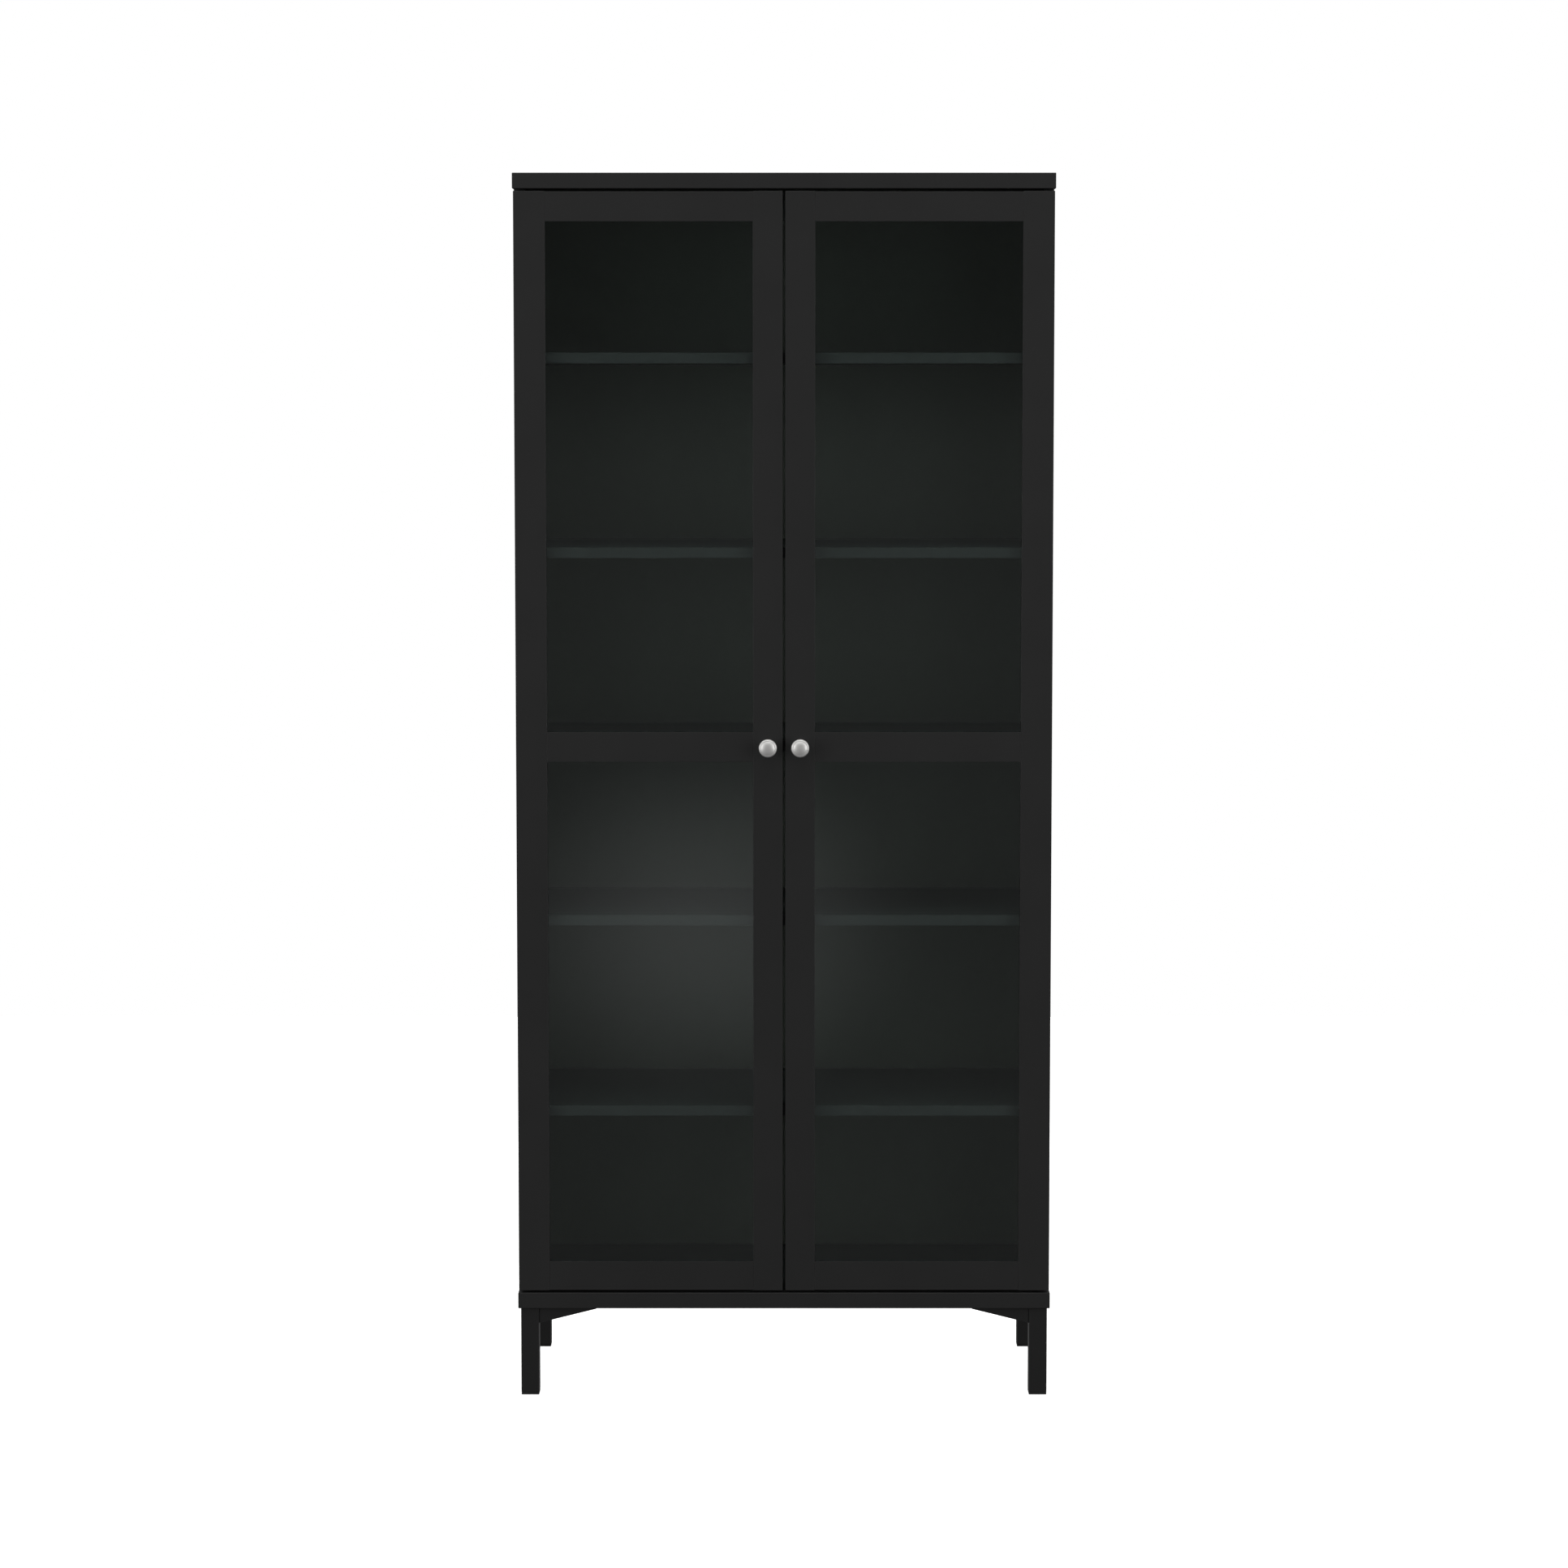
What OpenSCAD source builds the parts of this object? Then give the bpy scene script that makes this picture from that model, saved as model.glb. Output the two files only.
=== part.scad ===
// China cabinet with two framed glass doors, four adjustable shelves and one fixed shelf.
// Millimetres, +Z up, doors facing -Y. The origin is the centre of the footprint, on the floor.

/* [Cabinet] */
// Overall width, across the top and bottom panels
cabinet_w = 800; // [660:1:1000]
// Depth of the top and bottom panels
cabinet_d = 350; // [290:1:450]
// Overall height from the floor
cabinet_h = 1828; // [1500:1:2200]
// Height of the legs, up to the bottom panel
leg_h = 133; // [100:1:170]
// Thickness of the top panel
top_t = 23; // [18:1:30]
// Thickness of the bottom panel
bottom_t = 24; // [18:1:30]
// How far the top and bottom panels reach past each side panel
plate_overhang = 1.5; // [0:0.5:6]
// Thickness of the side panels
side_t = 16; // [15:1:22]
// Thickness of the back panels
back_t = 3; // [3:0.5:6]

/* [Shelves] */
// Thickness of every shelf
shelf_t = 16; // [15:1:22]
// Gap between an adjustable shelf and each side panel
shelf_end_gap = 1; // [0.5:0.5:3]
// Gap between an adjustable shelf and the back panel
shelf_rear_gap = 1; // [0.5:0.5:5]
// How far the lower shelves sit below a full rise from the floor
lower_shelf_drop = 6; // [0:1:20]
// Spacing of the shelf pin holes
pin_pitch = 32; // [25:1:40]
// Pin holes above and below the one in use
pin_spares = 2; // [0:1:2]
// Diameter of a shelf pin and its hole
pin_d = 5; // [4:0.5:7]
// Depth of a pin hole in the side panel
pin_hole_depth = 10; // [8:1:12]
// Length of a shelf pin beyond the side panel
pin_reach = 8; // [6:1:12]
// Distance of the front pin column and hinge screws from the side panel's front edge
system_column = 37; // [37:1:45]
// Distance of the rear pin column from the side panel's rear edge
rear_column = 37; // [30:1:60]

/* [Doors] */
// Thickness of the doors
door_t = 18; // [18:1:24]
// Gap between the two closed doors
door_gap = 4; // [3:0.5:8]
// Gap above and below the doors
door_reveal = 3.5; // [2:0.5:8]
// Gap behind the closed doors, in front of the side panels and shelves
door_rear_gap = 2; // [2:0.5:4]
// Width of the stile on the hinge side
hinge_stile_w = 46.5; // [42:0.5:70]
// Width of the stile beside the other door
meeting_stile_w = 44; // [38:0.5:70]
// Width of the top, middle and bottom rails
rail_w = 44.5; // [38:0.5:80]
// How far the top and bottom rails stop short of the stile ends
rail_shy = 0.8; // [0:0.1:2]
// Radius of the rear outer edge, which turns past the side panel
door_edge_r = 2; // [2:0.25:4]

/* [Glass] */
// Thickness of the panes
glass_t = 4; // [3:0.5:5]
// Thickness of the frame's lip in front of a pane
lip_t = 4.5; // [3:0.5:6]
// Width of the rebate that holds a pane
rebate_w = 8; // [6:0.5:10]
// Gap round the edge of a pane
glass_gap = 1; // [0.5:0.5:2]
// How far the glazing beads stay back from the edge of the opening
bead_setback = 0.5; // [0:0.5:2]

/* [Hinges] */
// Distance of the hinge line from the door's outer edge
pole_in = 7.2; // [6.8:0.1:7.4]
// Distance of the hinge line in front of the door's rear face
pole_front = 9.2; // [9:0.1:9.4]
// Angle that both doors stand open, for a look at the hinges
door_open = 0; // [0:5:95]
// Turn of a hinge link for each degree that its door turns the other way
link_ratio = 0.33; // [0.3:0.01:0.35]
// Distance of the end hinges from the door's ends
hinge_end = 100; // [80:1:140]
// Distance of the middle hinge below the fixed shelf
hinge_drop = 90; // [60:1:110]
// Diameter of the hinge cup
cup_d = 26; // [26:0.5:27]
// Depth of the hinge cup
cup_depth = 11.5; // [11:0.5:12]
// Distance of the cup's rim from the door's outer edge
cup_edge = 4; // [4:0.5:5]
// Wall and floor thickness of the cup
cup_wall = 1; // [0.8:0.1:1.2]
// Thickness of the cup's flange
flange_t = 0.8; // [0.6:0.1:1]
// Distance of the link's pivot from the side panel's inner face
pivot_in = 11.5; // [11:0.5:12]
// Distance of the link's pivot behind the side panel's front edge
pivot_back = 5; // [5:0.5:7]
// Diameter of the pivot pin
pivot_d = 3; // [2.5:0.5:3]
// Radial running clearance of the link on its pivot pin
pivot_gap = 0.1; // [0.05:0.05:0.2]
// Width of the link along the pivot
link_w = 9; // [8:0.5:9]
// Thickness of the link
link_t = 2; // [1.5:0.5:2]

/* [Knobs] */
// Diameter of a knob
knob_d = 27; // [22:1:36]
// How far a knob stands out from the door
knob_reach = 28; // [22:1:36]
// Diameter of the knob's foot on the door
knob_foot_d = 16; // [14:1:22]
// Diameter of the knob screw
knob_screw_d = 4; // [4:0.5:5]

/* [Legs] */
// Width of a leg, seen from the front
leg_w = 27; // [24:1:45]
// Depth of a leg, seen from the side
leg_d = 30; // [24:1:45]
// Inset of the legs from the ends and front of the bottom panel
leg_inset = 4; // [2:1:15]
// Inset of the rear legs from the back, which clears a skirting board
leg_rear_inset = 11; // [4:1:30]
// Length of a gusset along the bottom panel
gusset_l = 86.5; // [70:0.5:100]
// Height of a gusset against its leg
gusset_h = 23.5; // [20:0.5:40]
// Thickness of a gusset
gusset_t = 14; // [12:1:20]
// How far a gusset sits back from the leg's face
gusset_setback = 2; // [0:0.5:6]
// Thickness of the foot caps
foot_t = 3; // [2.5:0.5:6]
// Rounding of the foot caps' lower edge
foot_r = 2; // [1:0.5:2]

/* [Fasteners] */
// Diameter of the carcass dowels
dowel_d = 8; // [6:1:8]
// Depth of a dowel or cam bolt in the face of a panel
face_depth = 11; // [8:1:12]
// Depth of a dowel in the edge of a panel
edge_depth = 19; // [15:1:25]
// Diameter of a cam disc
cam_d = 15; // [12:1:18]
// Depth of a cam disc
cam_depth = 12.5; // [12:0.5:13]
// Distance of a cam disc from the panel's edge
cam_reach = 34; // [24:1:40]
// Diameter of a cam bolt's shank
cam_shank_d = 7; // [6:0.5:7]
// Diameter of a cam bolt's thread
cam_thread_d = 5; // [4:0.5:6]
// Distance of the cams from the front and rear edges of a side panel
cam_inset = 75; // [70:1:90]
// Distance between a cam and its dowel
cam_to_dowel = 32; // [25:1:35]
// Diameter of the leg bolts
leg_bolt_d = 8; // [6:1:10]
// Height of the wall rail under the top panel
wall_rail_h = 32; // [30:1:45]
// Thickness of the wall rail
wall_rail_t = 16; // [15:1:22]
// Diameter of the wall anchor holes in the wall rail
anchor_d = 6.5; // [5:0.5:8]
// Distance of a wall anchor hole from the middle of the cabinet
anchor_x = 200; // [100:1:250]

/* [Hidden] */
$fn = 48;
// Overshoot of a cutting tool past the face it opens
eps = 1;
black = "#272727";
steel = "#a9a9a6";
birch = "#cdb389";
glass = "#5d6f6a66";

// Levels
floor_z = leg_h + bottom_t;
ceiling_z = cabinet_h - top_t;
door_z0 = floor_z + door_reveal;
door_z1 = ceiling_z - door_reveal;
middle_z = (door_z0 + door_z1) / 2;
fixed_z0 = middle_z - shelf_t / 2;
fixed_z1 = middle_z + shelf_t / 2;
bays = 3;
shelf_rise = pin_pitch * round((ceiling_z - fixed_z1) / bays / pin_pitch);
// Top faces of the adjustable shelves
upper_high_z = fixed_z1 + 2 * shelf_rise;
upper_low_z = fixed_z1 + shelf_rise;
lower_low_z = floor_z + shelf_rise - lower_shelf_drop;
lower_high_z = lower_low_z + shelf_rise;
shelf_tops = [upper_high_z, upper_low_z, lower_high_z, lower_low_z];

// Depths, with the door fronts flush with the panels' front edges
front_y = (knob_reach - cabinet_d) / 2;
back_y = front_y + cabinet_d;
door_back_y = front_y + door_t;
carcass_y = door_back_y + door_rear_gap;
side_back_y = back_y - back_t;
pin_front_y = carcass_y + system_column;
pin_rear_y = side_back_y - rear_column;
cam_ys = [carcass_y + cam_inset, side_back_y - cam_inset];
dowel_ys = [cam_ys[0] + cam_to_dowel, cam_ys[1] - cam_to_dowel];

// Widths, from the middle outwards
side_out = cabinet_w / 2 - plate_overhang;
side_in = side_out - side_t;
door_x0 = door_gap / 2;
door_x1 = side_out;
rail_x0 = door_x0 + meeting_stile_w;
rail_x1 = door_x1 - hinge_stile_w;
knob_x = door_x0 + meeting_stile_w / 2;

// Rails and the openings between them
top_rail_z = [door_z1 - rail_w, door_z1 - rail_shy];
middle_rail_z = [middle_z - rail_w / 2, middle_z + rail_w / 2];
bottom_rail_z = [door_z0 + rail_shy, door_z0 + rail_w];
upper_open = [middle_rail_z[1], top_rail_z[0]];
lower_open = [bottom_rail_z[1], middle_rail_z[0]];
glass_lap = rebate_w - glass_gap;
bead_w = rebate_w - bead_setback;
bead_y = front_y + lip_t + glass_t;
bead_joint = 0.2;
frame_dowel_d = 6;
frame_dowel_depth = 15;

// Hinges: places are for the right-hand door, and the left-hand ones are mirrored
hinge_zs = [door_z0 + hinge_end, fixed_z0 - hinge_drop, door_z1 - hinge_end];
cup_x = door_x1 - cup_edge - cup_d / 2;
pole = [door_x1 - pole_in, door_back_y - pole_front];
pivot = [side_in - pivot_in, carcass_y + pivot_back];
link_tip = [cup_x + 8.5, door_back_y - 2.5];
link_knee = [cup_x - 5.5, door_back_y - 3.5];
link_eye_d = 5.5;
arm_t = 5;
arm_w = 13;
ear_gap = 0.3;
plate_t = 2;
plate_hole_z = 16;
plate_h = 44;
plate_w = 20;
arm_back_y = pin_front_y + 22;
rail_w_hinge = 11;
euro_d = 5;
euro_depth = 11;
flange_hole_z = 17.5;
flange_h = 44;
flange_w = 15;
cup_screw_d = 3;
cup_screw_l = 10;
cam_past = 2; // how far a cam bolt reaches beyond the cam disc's axis

// Legs and gussets
leg_x1 = cabinet_w / 2 - leg_inset;
leg_x0 = leg_x1 - leg_w;
leg_ys = [front_y + leg_inset, back_y - leg_rear_inset - leg_d];
leg_bolt_up = 15;
leg_bolt_down = 35;
gusset_tip = 2;
gusset_screw_in = 28;
gusset_screw_d = 4;
gusset_screw_seat = 9;
gusset_screw_up = 15;
foot_stem_d = 5;
foot_stem_l = 12;

// Small screws
small_screw_d = 3.5;
small_screw_l = 13;
screw_head_d = 7;
screw_head_t = 2;
back_screws = 5;
back_screw_end = 30;
// Wall rail: the back panel ends this far below the top panel, and the anchor holes lie above it
back_open_h = 22;
back_top_z = ceiling_z - back_open_h;
bumper_d = 8;
bumper_t = 1.7;

// A box between two corners
module slab(a, b) {
    translate(a) cube([b[0] - a[0], b[1] - a[1], b[2] - a[2]]);
}

// A round bar of diameter d from a point along +X, -X, +Y, -Y, +Z or -Z
module bar_x(p, d, l) {
    translate(p) rotate([0, l > 0 ? 90 : -90, 0]) cylinder(d = d, h = abs(l));
}
module bar_y(p, d, l) {
    translate(p) rotate([l > 0 ? -90 : 90, 0, 0]) cylinder(d = d, h = abs(l));
}
module bar_z(p, d, l) {
    translate(p) rotate([l > 0 ? 0 : 180, 0, 0]) cylinder(d = d, h = abs(l));
}

// Puts its children on the right, mirrored on the left when side is -1
module on_side(side) {
    mirror([side < 0 ? 1 : 0, 0, 0]) children();
}
module both_sides() {
    for (side = [-1, 1]) on_side(side) children();
}

// Turns its children about a vertical line
module about(p, angle) {
    translate([p[0], p[1], 0]) rotate([0, 0, angle]) translate([-p[0], -p[1], 0]) children();
}

// Places a door's pieces, at the angle that the doors stand open
module on_door(side) {
    on_side(side) about(pole, door_open) children();
}

// Joints of the side panels with the top and bottom panels:
// local +Z runs into the side panel, and local +X points to its inner face
module at_plate_joints(ys) {
    for (top = [0, 1], y = ys)
        both_sides()
            translate([side_in + side_t / 2, y, top == 1 ? ceiling_z : floor_z])
                mirror([0, 0, top]) mirror([1, 0, 0]) children();
}

// Joints of the fixed shelf with the side panels:
// local +Z runs into the shelf, and local +X points to its underside
module at_shelf_joints(ys) {
    for (y = ys)
        both_sides() mirror([1, 0, 0]) translate([-side_in, y, middle_z]) rotate([0, 90, 0]) children();
}

// Joints of the wall rail with the side panels, with local +Z into the rail
module at_wall_rail_joints() {
    for (k = [1, 3])
        both_sides() mirror([1, 0, 0])
            translate([-side_in, side_back_y - wall_rail_t / 2, ceiling_z - k * wall_rail_h / 4])
                rotate([0, 90, 0]) children();
}

// Cam fittings in the frames of the joints with the plates and the fixed shelf
module cam_rod_hole() {
    cylinder(d = cam_shank_d + 1, h = cam_reach + cam_past + 0.5);
}
module cam_disc_hole(panel_t) {
    bar_x([panel_t / 2 - cam_depth, 0, cam_reach], cam_d, cam_depth + eps);
}
module cam_thread_hole() {
    translate([0, 0, -face_depth]) cylinder(d = cam_thread_d, h = face_depth + eps);
}
module cam_disc(panel_t) {
    slot_d = cam_shank_d + 1;
    difference() {
        bar_x([panel_t / 2 - cam_depth, 0, cam_reach], cam_d, cam_depth);
        translate([0, 0, cam_reach - cam_d]) cylinder(d = slot_d, h = cam_d + slot_d / 2);
        translate([panel_t / 2 - 1.5, -4, cam_reach - 0.6]) cube([eps + 1.5, 8, 1.2]);
    }
}
module cam_bolt() {
    union() {
        translate([0, 0, -face_depth]) cylinder(d = cam_thread_d, h = face_depth);
        cylinder(d = cam_shank_d, h = cam_reach + cam_past);
    }
}
module dowel_hole() {
    translate([0, 0, -face_depth]) cylinder(d = dowel_d, h = face_depth + edge_depth);
}

// Carcass
module plate(z0, z1) {
    slab([-cabinet_w / 2, front_y, z0], [cabinet_w / 2, back_y, z1]);
}
module top_panel() {
    color(black) difference() {
        plate(ceiling_z, cabinet_h);
        at_plate_joints(cam_ys) cam_thread_hole();
        at_plate_joints(dowel_ys) dowel_hole();
    }
}
module bottom_panel() {
    color(black) difference() {
        plate(leg_h, floor_z);
        at_plate_joints(cam_ys) cam_thread_hole();
        at_plate_joints(dowel_ys) dowel_hole();
        at_legs() bar_z([leg_w / 2, leg_d / 2, -eps], leg_bolt_d, leg_bolt_up + eps);
        at_gussets() bar_z([gusset_screw_in, gusset_t / 2, -eps], gusset_screw_d, gusset_screw_up + eps);
    }
}

// Pin holes of one side panel, or the pins in use
module at_pins(spares) {
    for (z = shelf_tops, i = [-spares:spares], y = [pin_front_y, pin_rear_y])
        translate([side_in, y, z - shelf_t - pin_d / 2 + i * pin_pitch]) children();
}
module side_panel(side) {
    color(black) on_side(side) difference() {
        slab([side_in, carcass_y, floor_z], [side_out, side_back_y, ceiling_z]);
        at_plate_joints(cam_ys) cam_rod_hole();
        at_plate_joints(cam_ys) cam_disc_hole(side_t);
        at_plate_joints(dowel_ys) dowel_hole();
        at_shelf_joints(cam_ys) cam_thread_hole();
        at_shelf_joints(dowel_ys) dowel_hole();
        at_wall_rail_joints() dowel_hole();
        at_pins(pin_spares) bar_x([-eps, 0, 0], pin_d, pin_hole_depth + eps);
        at_plate_screws() bar_x([-eps, 0, 0], euro_d, euro_depth + eps);
        at_side_back_screws() bar_y([0, eps, 0], small_screw_d, -small_screw_l - eps);
    }
}
module left_side_panel() {
    side_panel(-1);
}
module right_side_panel() {
    side_panel(1);
}

module fixed_shelf() {
    color(black) difference() {
        slab([-side_in, carcass_y, fixed_z0], [side_in, side_back_y, fixed_z1]);
        at_shelf_joints(cam_ys) cam_rod_hole();
        at_shelf_joints(cam_ys) cam_disc_hole(shelf_t);
        at_shelf_joints(dowel_ys) dowel_hole();
    }
}
module adjustable_shelf(top_z) {
    half = side_in - shelf_end_gap;
    color(black) slab([-half, carcass_y, top_z - shelf_t], [half, side_back_y - shelf_rear_gap, top_z]);
}
module upper_shelf_high() {
    adjustable_shelf(upper_high_z);
}
module upper_shelf_low() {
    adjustable_shelf(upper_low_z);
}
module lower_shelf_high() {
    adjustable_shelf(lower_high_z);
}
module lower_shelf_low() {
    adjustable_shelf(lower_low_z);
}
module shelf_pins() {
    color(steel) both_sides() at_pins(0) bar_x([-pin_reach, 0, 0], pin_d, pin_reach + pin_hole_depth);
}

// Back panels, screwed to the rear edges of the side panels
module back_screw_zs(z0, z1) {
    for (i = [0:back_screws - 1])
        translate([0, 0, z0 + back_screw_end + i * (z1 - z0 - 2 * back_screw_end) / (back_screws - 1)])
            children();
}
module at_side_back_screws() {
    translate([side_in + side_t / 2, side_back_y, 0]) {
        back_screw_zs(floor_z, middle_z) children();
        back_screw_zs(middle_z, back_top_z) children();
    }
}
module countersunk_hole() {
    translate([0, back_t, 0]) rotate([90, 0, 0]) {
        cylinder(d1 = screw_head_d, d2 = small_screw_d, h = screw_head_t);
        cylinder(d = small_screw_d, h = back_t + eps);
    }
}
module back_panel(z0, z1) {
    half = side_out - 1;
    color("#2a2a28") difference() {
        slab([-half, side_back_y, z0], [half, back_y, z1]);
        both_sides() at_side_back_screws() countersunk_hole();
    }
}
module upper_back_panel() {
    back_panel(middle_z, back_top_z);
}
module lower_back_panel() {
    back_panel(floor_z, middle_z);
}
module back_panel_screws() {
    color(steel) both_sides() at_side_back_screws() translate([0, back_t, 0]) rotate([90, 0, 0]) {
        cylinder(d1 = screw_head_d, d2 = small_screw_d, h = screw_head_t);
        cylinder(d = small_screw_d, h = back_t + small_screw_l);
    }
}

// Fittings that draw the carcass together
module cam_discs() {
    color(steel) {
        at_plate_joints(cam_ys) cam_disc(side_t);
        at_shelf_joints(cam_ys) cam_disc(shelf_t);
    }
}
module cam_bolts() {
    color(steel) {
        at_plate_joints(cam_ys) cam_bolt();
        at_shelf_joints(cam_ys) cam_bolt();
    }
}
module carcass_dowels() {
    color(birch) {
        at_plate_joints(dowel_ys) dowel_hole();
        at_shelf_joints(dowel_ys) dowel_hole();
        at_wall_rail_joints() dowel_hole();
    }
}

// Rail between the side panels, through which screws hold the cabinet to the wall against tipping
module wall_rail() {
    color(black) difference() {
        slab([-side_in, side_back_y - wall_rail_t, ceiling_z - wall_rail_h], [side_in, side_back_y, ceiling_z]);
        for (x = [-anchor_x, anchor_x])
            bar_y([x, side_back_y - wall_rail_t - eps, ceiling_z - back_open_h / 2], anchor_d, wall_rail_t + 2 * eps);
        at_wall_rail_joints() dowel_hole();
    }
}

// Legs, with their origin at the leg's inner front corner, under the bottom panel
module at_legs() {
    for (y = leg_ys) both_sides() translate([leg_x0, y, leg_h]) children();
}
module leg(side, y) {
    color(black) on_side(side) difference() {
        slab([leg_x0, y, foot_t], [leg_x1, y + leg_d, leg_h]);
        bar_z([leg_x0 + leg_w / 2, y + leg_d / 2, leg_h + eps], leg_bolt_d, -leg_bolt_down - eps);
        bar_z([leg_x0 + leg_w / 2, y + leg_d / 2, foot_t - eps], foot_stem_d, foot_stem_l + eps);
    }
}
module front_left_leg() {
    leg(-1, leg_ys[0]);
}
module front_right_leg() {
    leg(1, leg_ys[0]);
}
module rear_left_leg() {
    leg(-1, leg_ys[1]);
}
module rear_right_leg() {
    leg(1, leg_ys[1]);
}
module foot_caps() {
    color("#202020") at_legs() translate([0, 0, -leg_h]) {
        hull() {
            translate([foot_r, foot_r, 0]) cube([leg_w - 2 * foot_r, leg_d - 2 * foot_r, foot_t / 2]);
            translate([foot_r * 0.3, foot_r * 0.3, foot_r * 0.3])
                cube([leg_w - foot_r * 0.6, leg_d - foot_r * 0.6, foot_t / 2]);
            translate([0, 0, foot_r]) cube([leg_w, leg_d, foot_t - foot_r]);
        }
        translate([leg_w / 2, leg_d / 2, foot_t]) cylinder(d = foot_stem_d, h = foot_stem_l);
    }
}
module leg_bolts() {
    color(steel) at_legs()
        translate([leg_w / 2, leg_d / 2, -leg_bolt_down]) cylinder(d = leg_bolt_d, h = leg_bolt_down + leg_bolt_up);
}

// Gussets: +X runs away from the leg and +Y through the thickness, from the leg's top corner
module at_front_gussets() {
    both_sides() translate([leg_x0, leg_ys[0] + gusset_setback, leg_h]) mirror([1, 0, 0]) children();
}
module at_rear_gussets() {
    both_sides()
        translate([leg_x0, leg_ys[1] + leg_d - gusset_setback - gusset_t, leg_h])
            mirror([1, 0, 0]) children();
}
module at_side_gussets() {
    both_sides() {
        translate([leg_x1 - gusset_setback, leg_ys[0] + leg_d, leg_h]) rotate([0, 0, 90]) children();
        translate([leg_x1 - gusset_setback, leg_ys[1], leg_h])
            mirror([0, 1, 0]) rotate([0, 0, 90]) children();
    }
}
module at_gussets() {
    at_front_gussets() children();
    at_rear_gussets() children();
    at_side_gussets() children();
}
module gusset() {
    difference() {
        translate([0, gusset_t, 0]) rotate([90, 0, 0]) linear_extrude(gusset_t)
            polygon([[0, 0], [0, -gusset_h], [gusset_l, -gusset_tip], [gusset_l, 0]]);
        bar_z([gusset_screw_in, gusset_t / 2, eps], gusset_screw_d, -gusset_h - eps);
        bar_z([gusset_screw_in, gusset_t / 2, -gusset_screw_seat], screw_head_d + 0.4, -gusset_h);
    }
}
module front_gussets() {
    color("#1f1f1f") at_front_gussets() gusset();
}
module rear_gussets() {
    color("#1f1f1f") at_rear_gussets() gusset();
}
module side_gussets() {
    color("#1f1f1f") at_side_gussets() gusset();
}
module gusset_screws() {
    color(steel) at_gussets() {
        bar_z([gusset_screw_in, gusset_t / 2, -gusset_screw_seat], gusset_screw_d,
            gusset_screw_seat + gusset_screw_up);
        bar_z([gusset_screw_in, gusset_t / 2, -gusset_screw_seat], screw_head_d, -screw_head_t);
    }
}

// Hinge parts on the cabinet
module at_plate_screws() {
    for (z = hinge_zs, side = [-1, 1])
        translate([side_in, pin_front_y, z + side * plate_hole_z]) children();
}
module at_hinges() {
    for (z = hinge_zs) translate([0, 0, z]) children();
}
module hinge_plates() {
    color(steel) both_sides() difference() {
        at_hinges() {
            slab([side_in - plate_t, pin_front_y - plate_w / 2, -plate_h / 2],
                [side_in, pin_front_y + plate_w / 2, plate_h / 2]);
            slab([pivot[0] + arm_t / 2, pin_front_y - 18, -rail_w_hinge / 2],
                [side_in - plate_t + 0.5, arm_back_y, rail_w_hinge / 2]);
        }
        at_plate_screws() bar_x([-plate_t - eps, 0, 0], euro_d, plate_t + 2 * eps);
    }
}
module hinge_plate_screws() {
    color(steel) both_sides() at_plate_screws() {
        bar_x([-plate_t, 0, 0], euro_d, plate_t + euro_depth);
        bar_x([-plate_t, 0, 0], euro_d + 3, -2);
    }
}
module hinge_arms() {
    ear_z = link_w / 2 + ear_gap;
    color(steel) both_sides() at_hinges() {
        slab([pivot[0] - arm_t / 2, pivot[1] + link_eye_d / 2 + 0.5, -arm_w / 2],
            [pivot[0] + arm_t / 2, arm_back_y, arm_w / 2]);
        for (flip = [0, 1]) mirror([0, 0, flip]) {
            slab([pivot[0] - arm_t / 2, pivot[1], ear_z], [pivot[0] + arm_t / 2, pivot[1] + link_eye_d, arm_w / 2]);
            translate([pivot[0], pivot[1], ear_z]) cylinder(d = arm_t - 0.2, h = arm_w / 2 - ear_z);
        }
        translate([pivot[0], pivot[1], -arm_w / 2]) cylinder(d = pivot_d, h = arm_w);
    }
}

// Hinge links: a cranked bar from the pivot on the arm into the cup
function across(a, b) = [a[1] - b[1], b[0] - a[0]] / norm(b - a);
module crank(a, knee, b) {
    first = across(a, knee) * link_t / 2;
    second = across(knee, b) * link_t / 2;
    mitre = (first + second) / (1 + first * second / (link_t * link_t / 4));
    translate([0, 0, -link_w / 2]) linear_extrude(link_w)
        polygon([a + first, knee + mitre, b + second, b - second, knee - mitre, a - first]);
}
module hinge_links(side) {
    color(steel) on_side(side) about(pivot, -link_ratio * door_open) at_hinges() difference() {
        union() {
            translate([pivot[0], pivot[1], -link_w / 2]) cylinder(d = link_eye_d, h = link_w);
            crank(pivot, link_knee, link_tip);
        }
        translate([pivot[0], pivot[1], -link_w]) cylinder(d = pivot_d + 2 * pivot_gap, h = 2 * link_w);
    }
}
module left_hinge_links() {
    hinge_links(-1);
}
module right_hinge_links() {
    hinge_links(1);
}

// Door frame
function edge_arc(cx, cy, r, steps) =
    [for (i = [0:steps]) [cx + r * sin(90 * i / steps), cy + r * cos(90 * i / steps)]];
module rebate(x0, x1, open) {
    slab([x0, front_y + lip_t, open[0] - rebate_w], [x1, door_back_y + eps, open[1] + rebate_w]);
}
module at_frame_dowels(x) {
    for (zone = [
        [top_rail_z[0] + rebate_w, top_rail_z[1]],
        [middle_rail_z[0] + rebate_w, middle_rail_z[1] - rebate_w],
        [bottom_rail_z[0], bottom_rail_z[1] - rebate_w]
    ], part = [0.25, 0.75])
        translate([x, front_y + door_t / 2, zone[0] + part * (zone[1] - zone[0])]) children();
}
module frame_dowel_hole() {
    bar_x([-frame_dowel_depth, 0, 0], frame_dowel_d, 2 * frame_dowel_depth);
}
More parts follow.
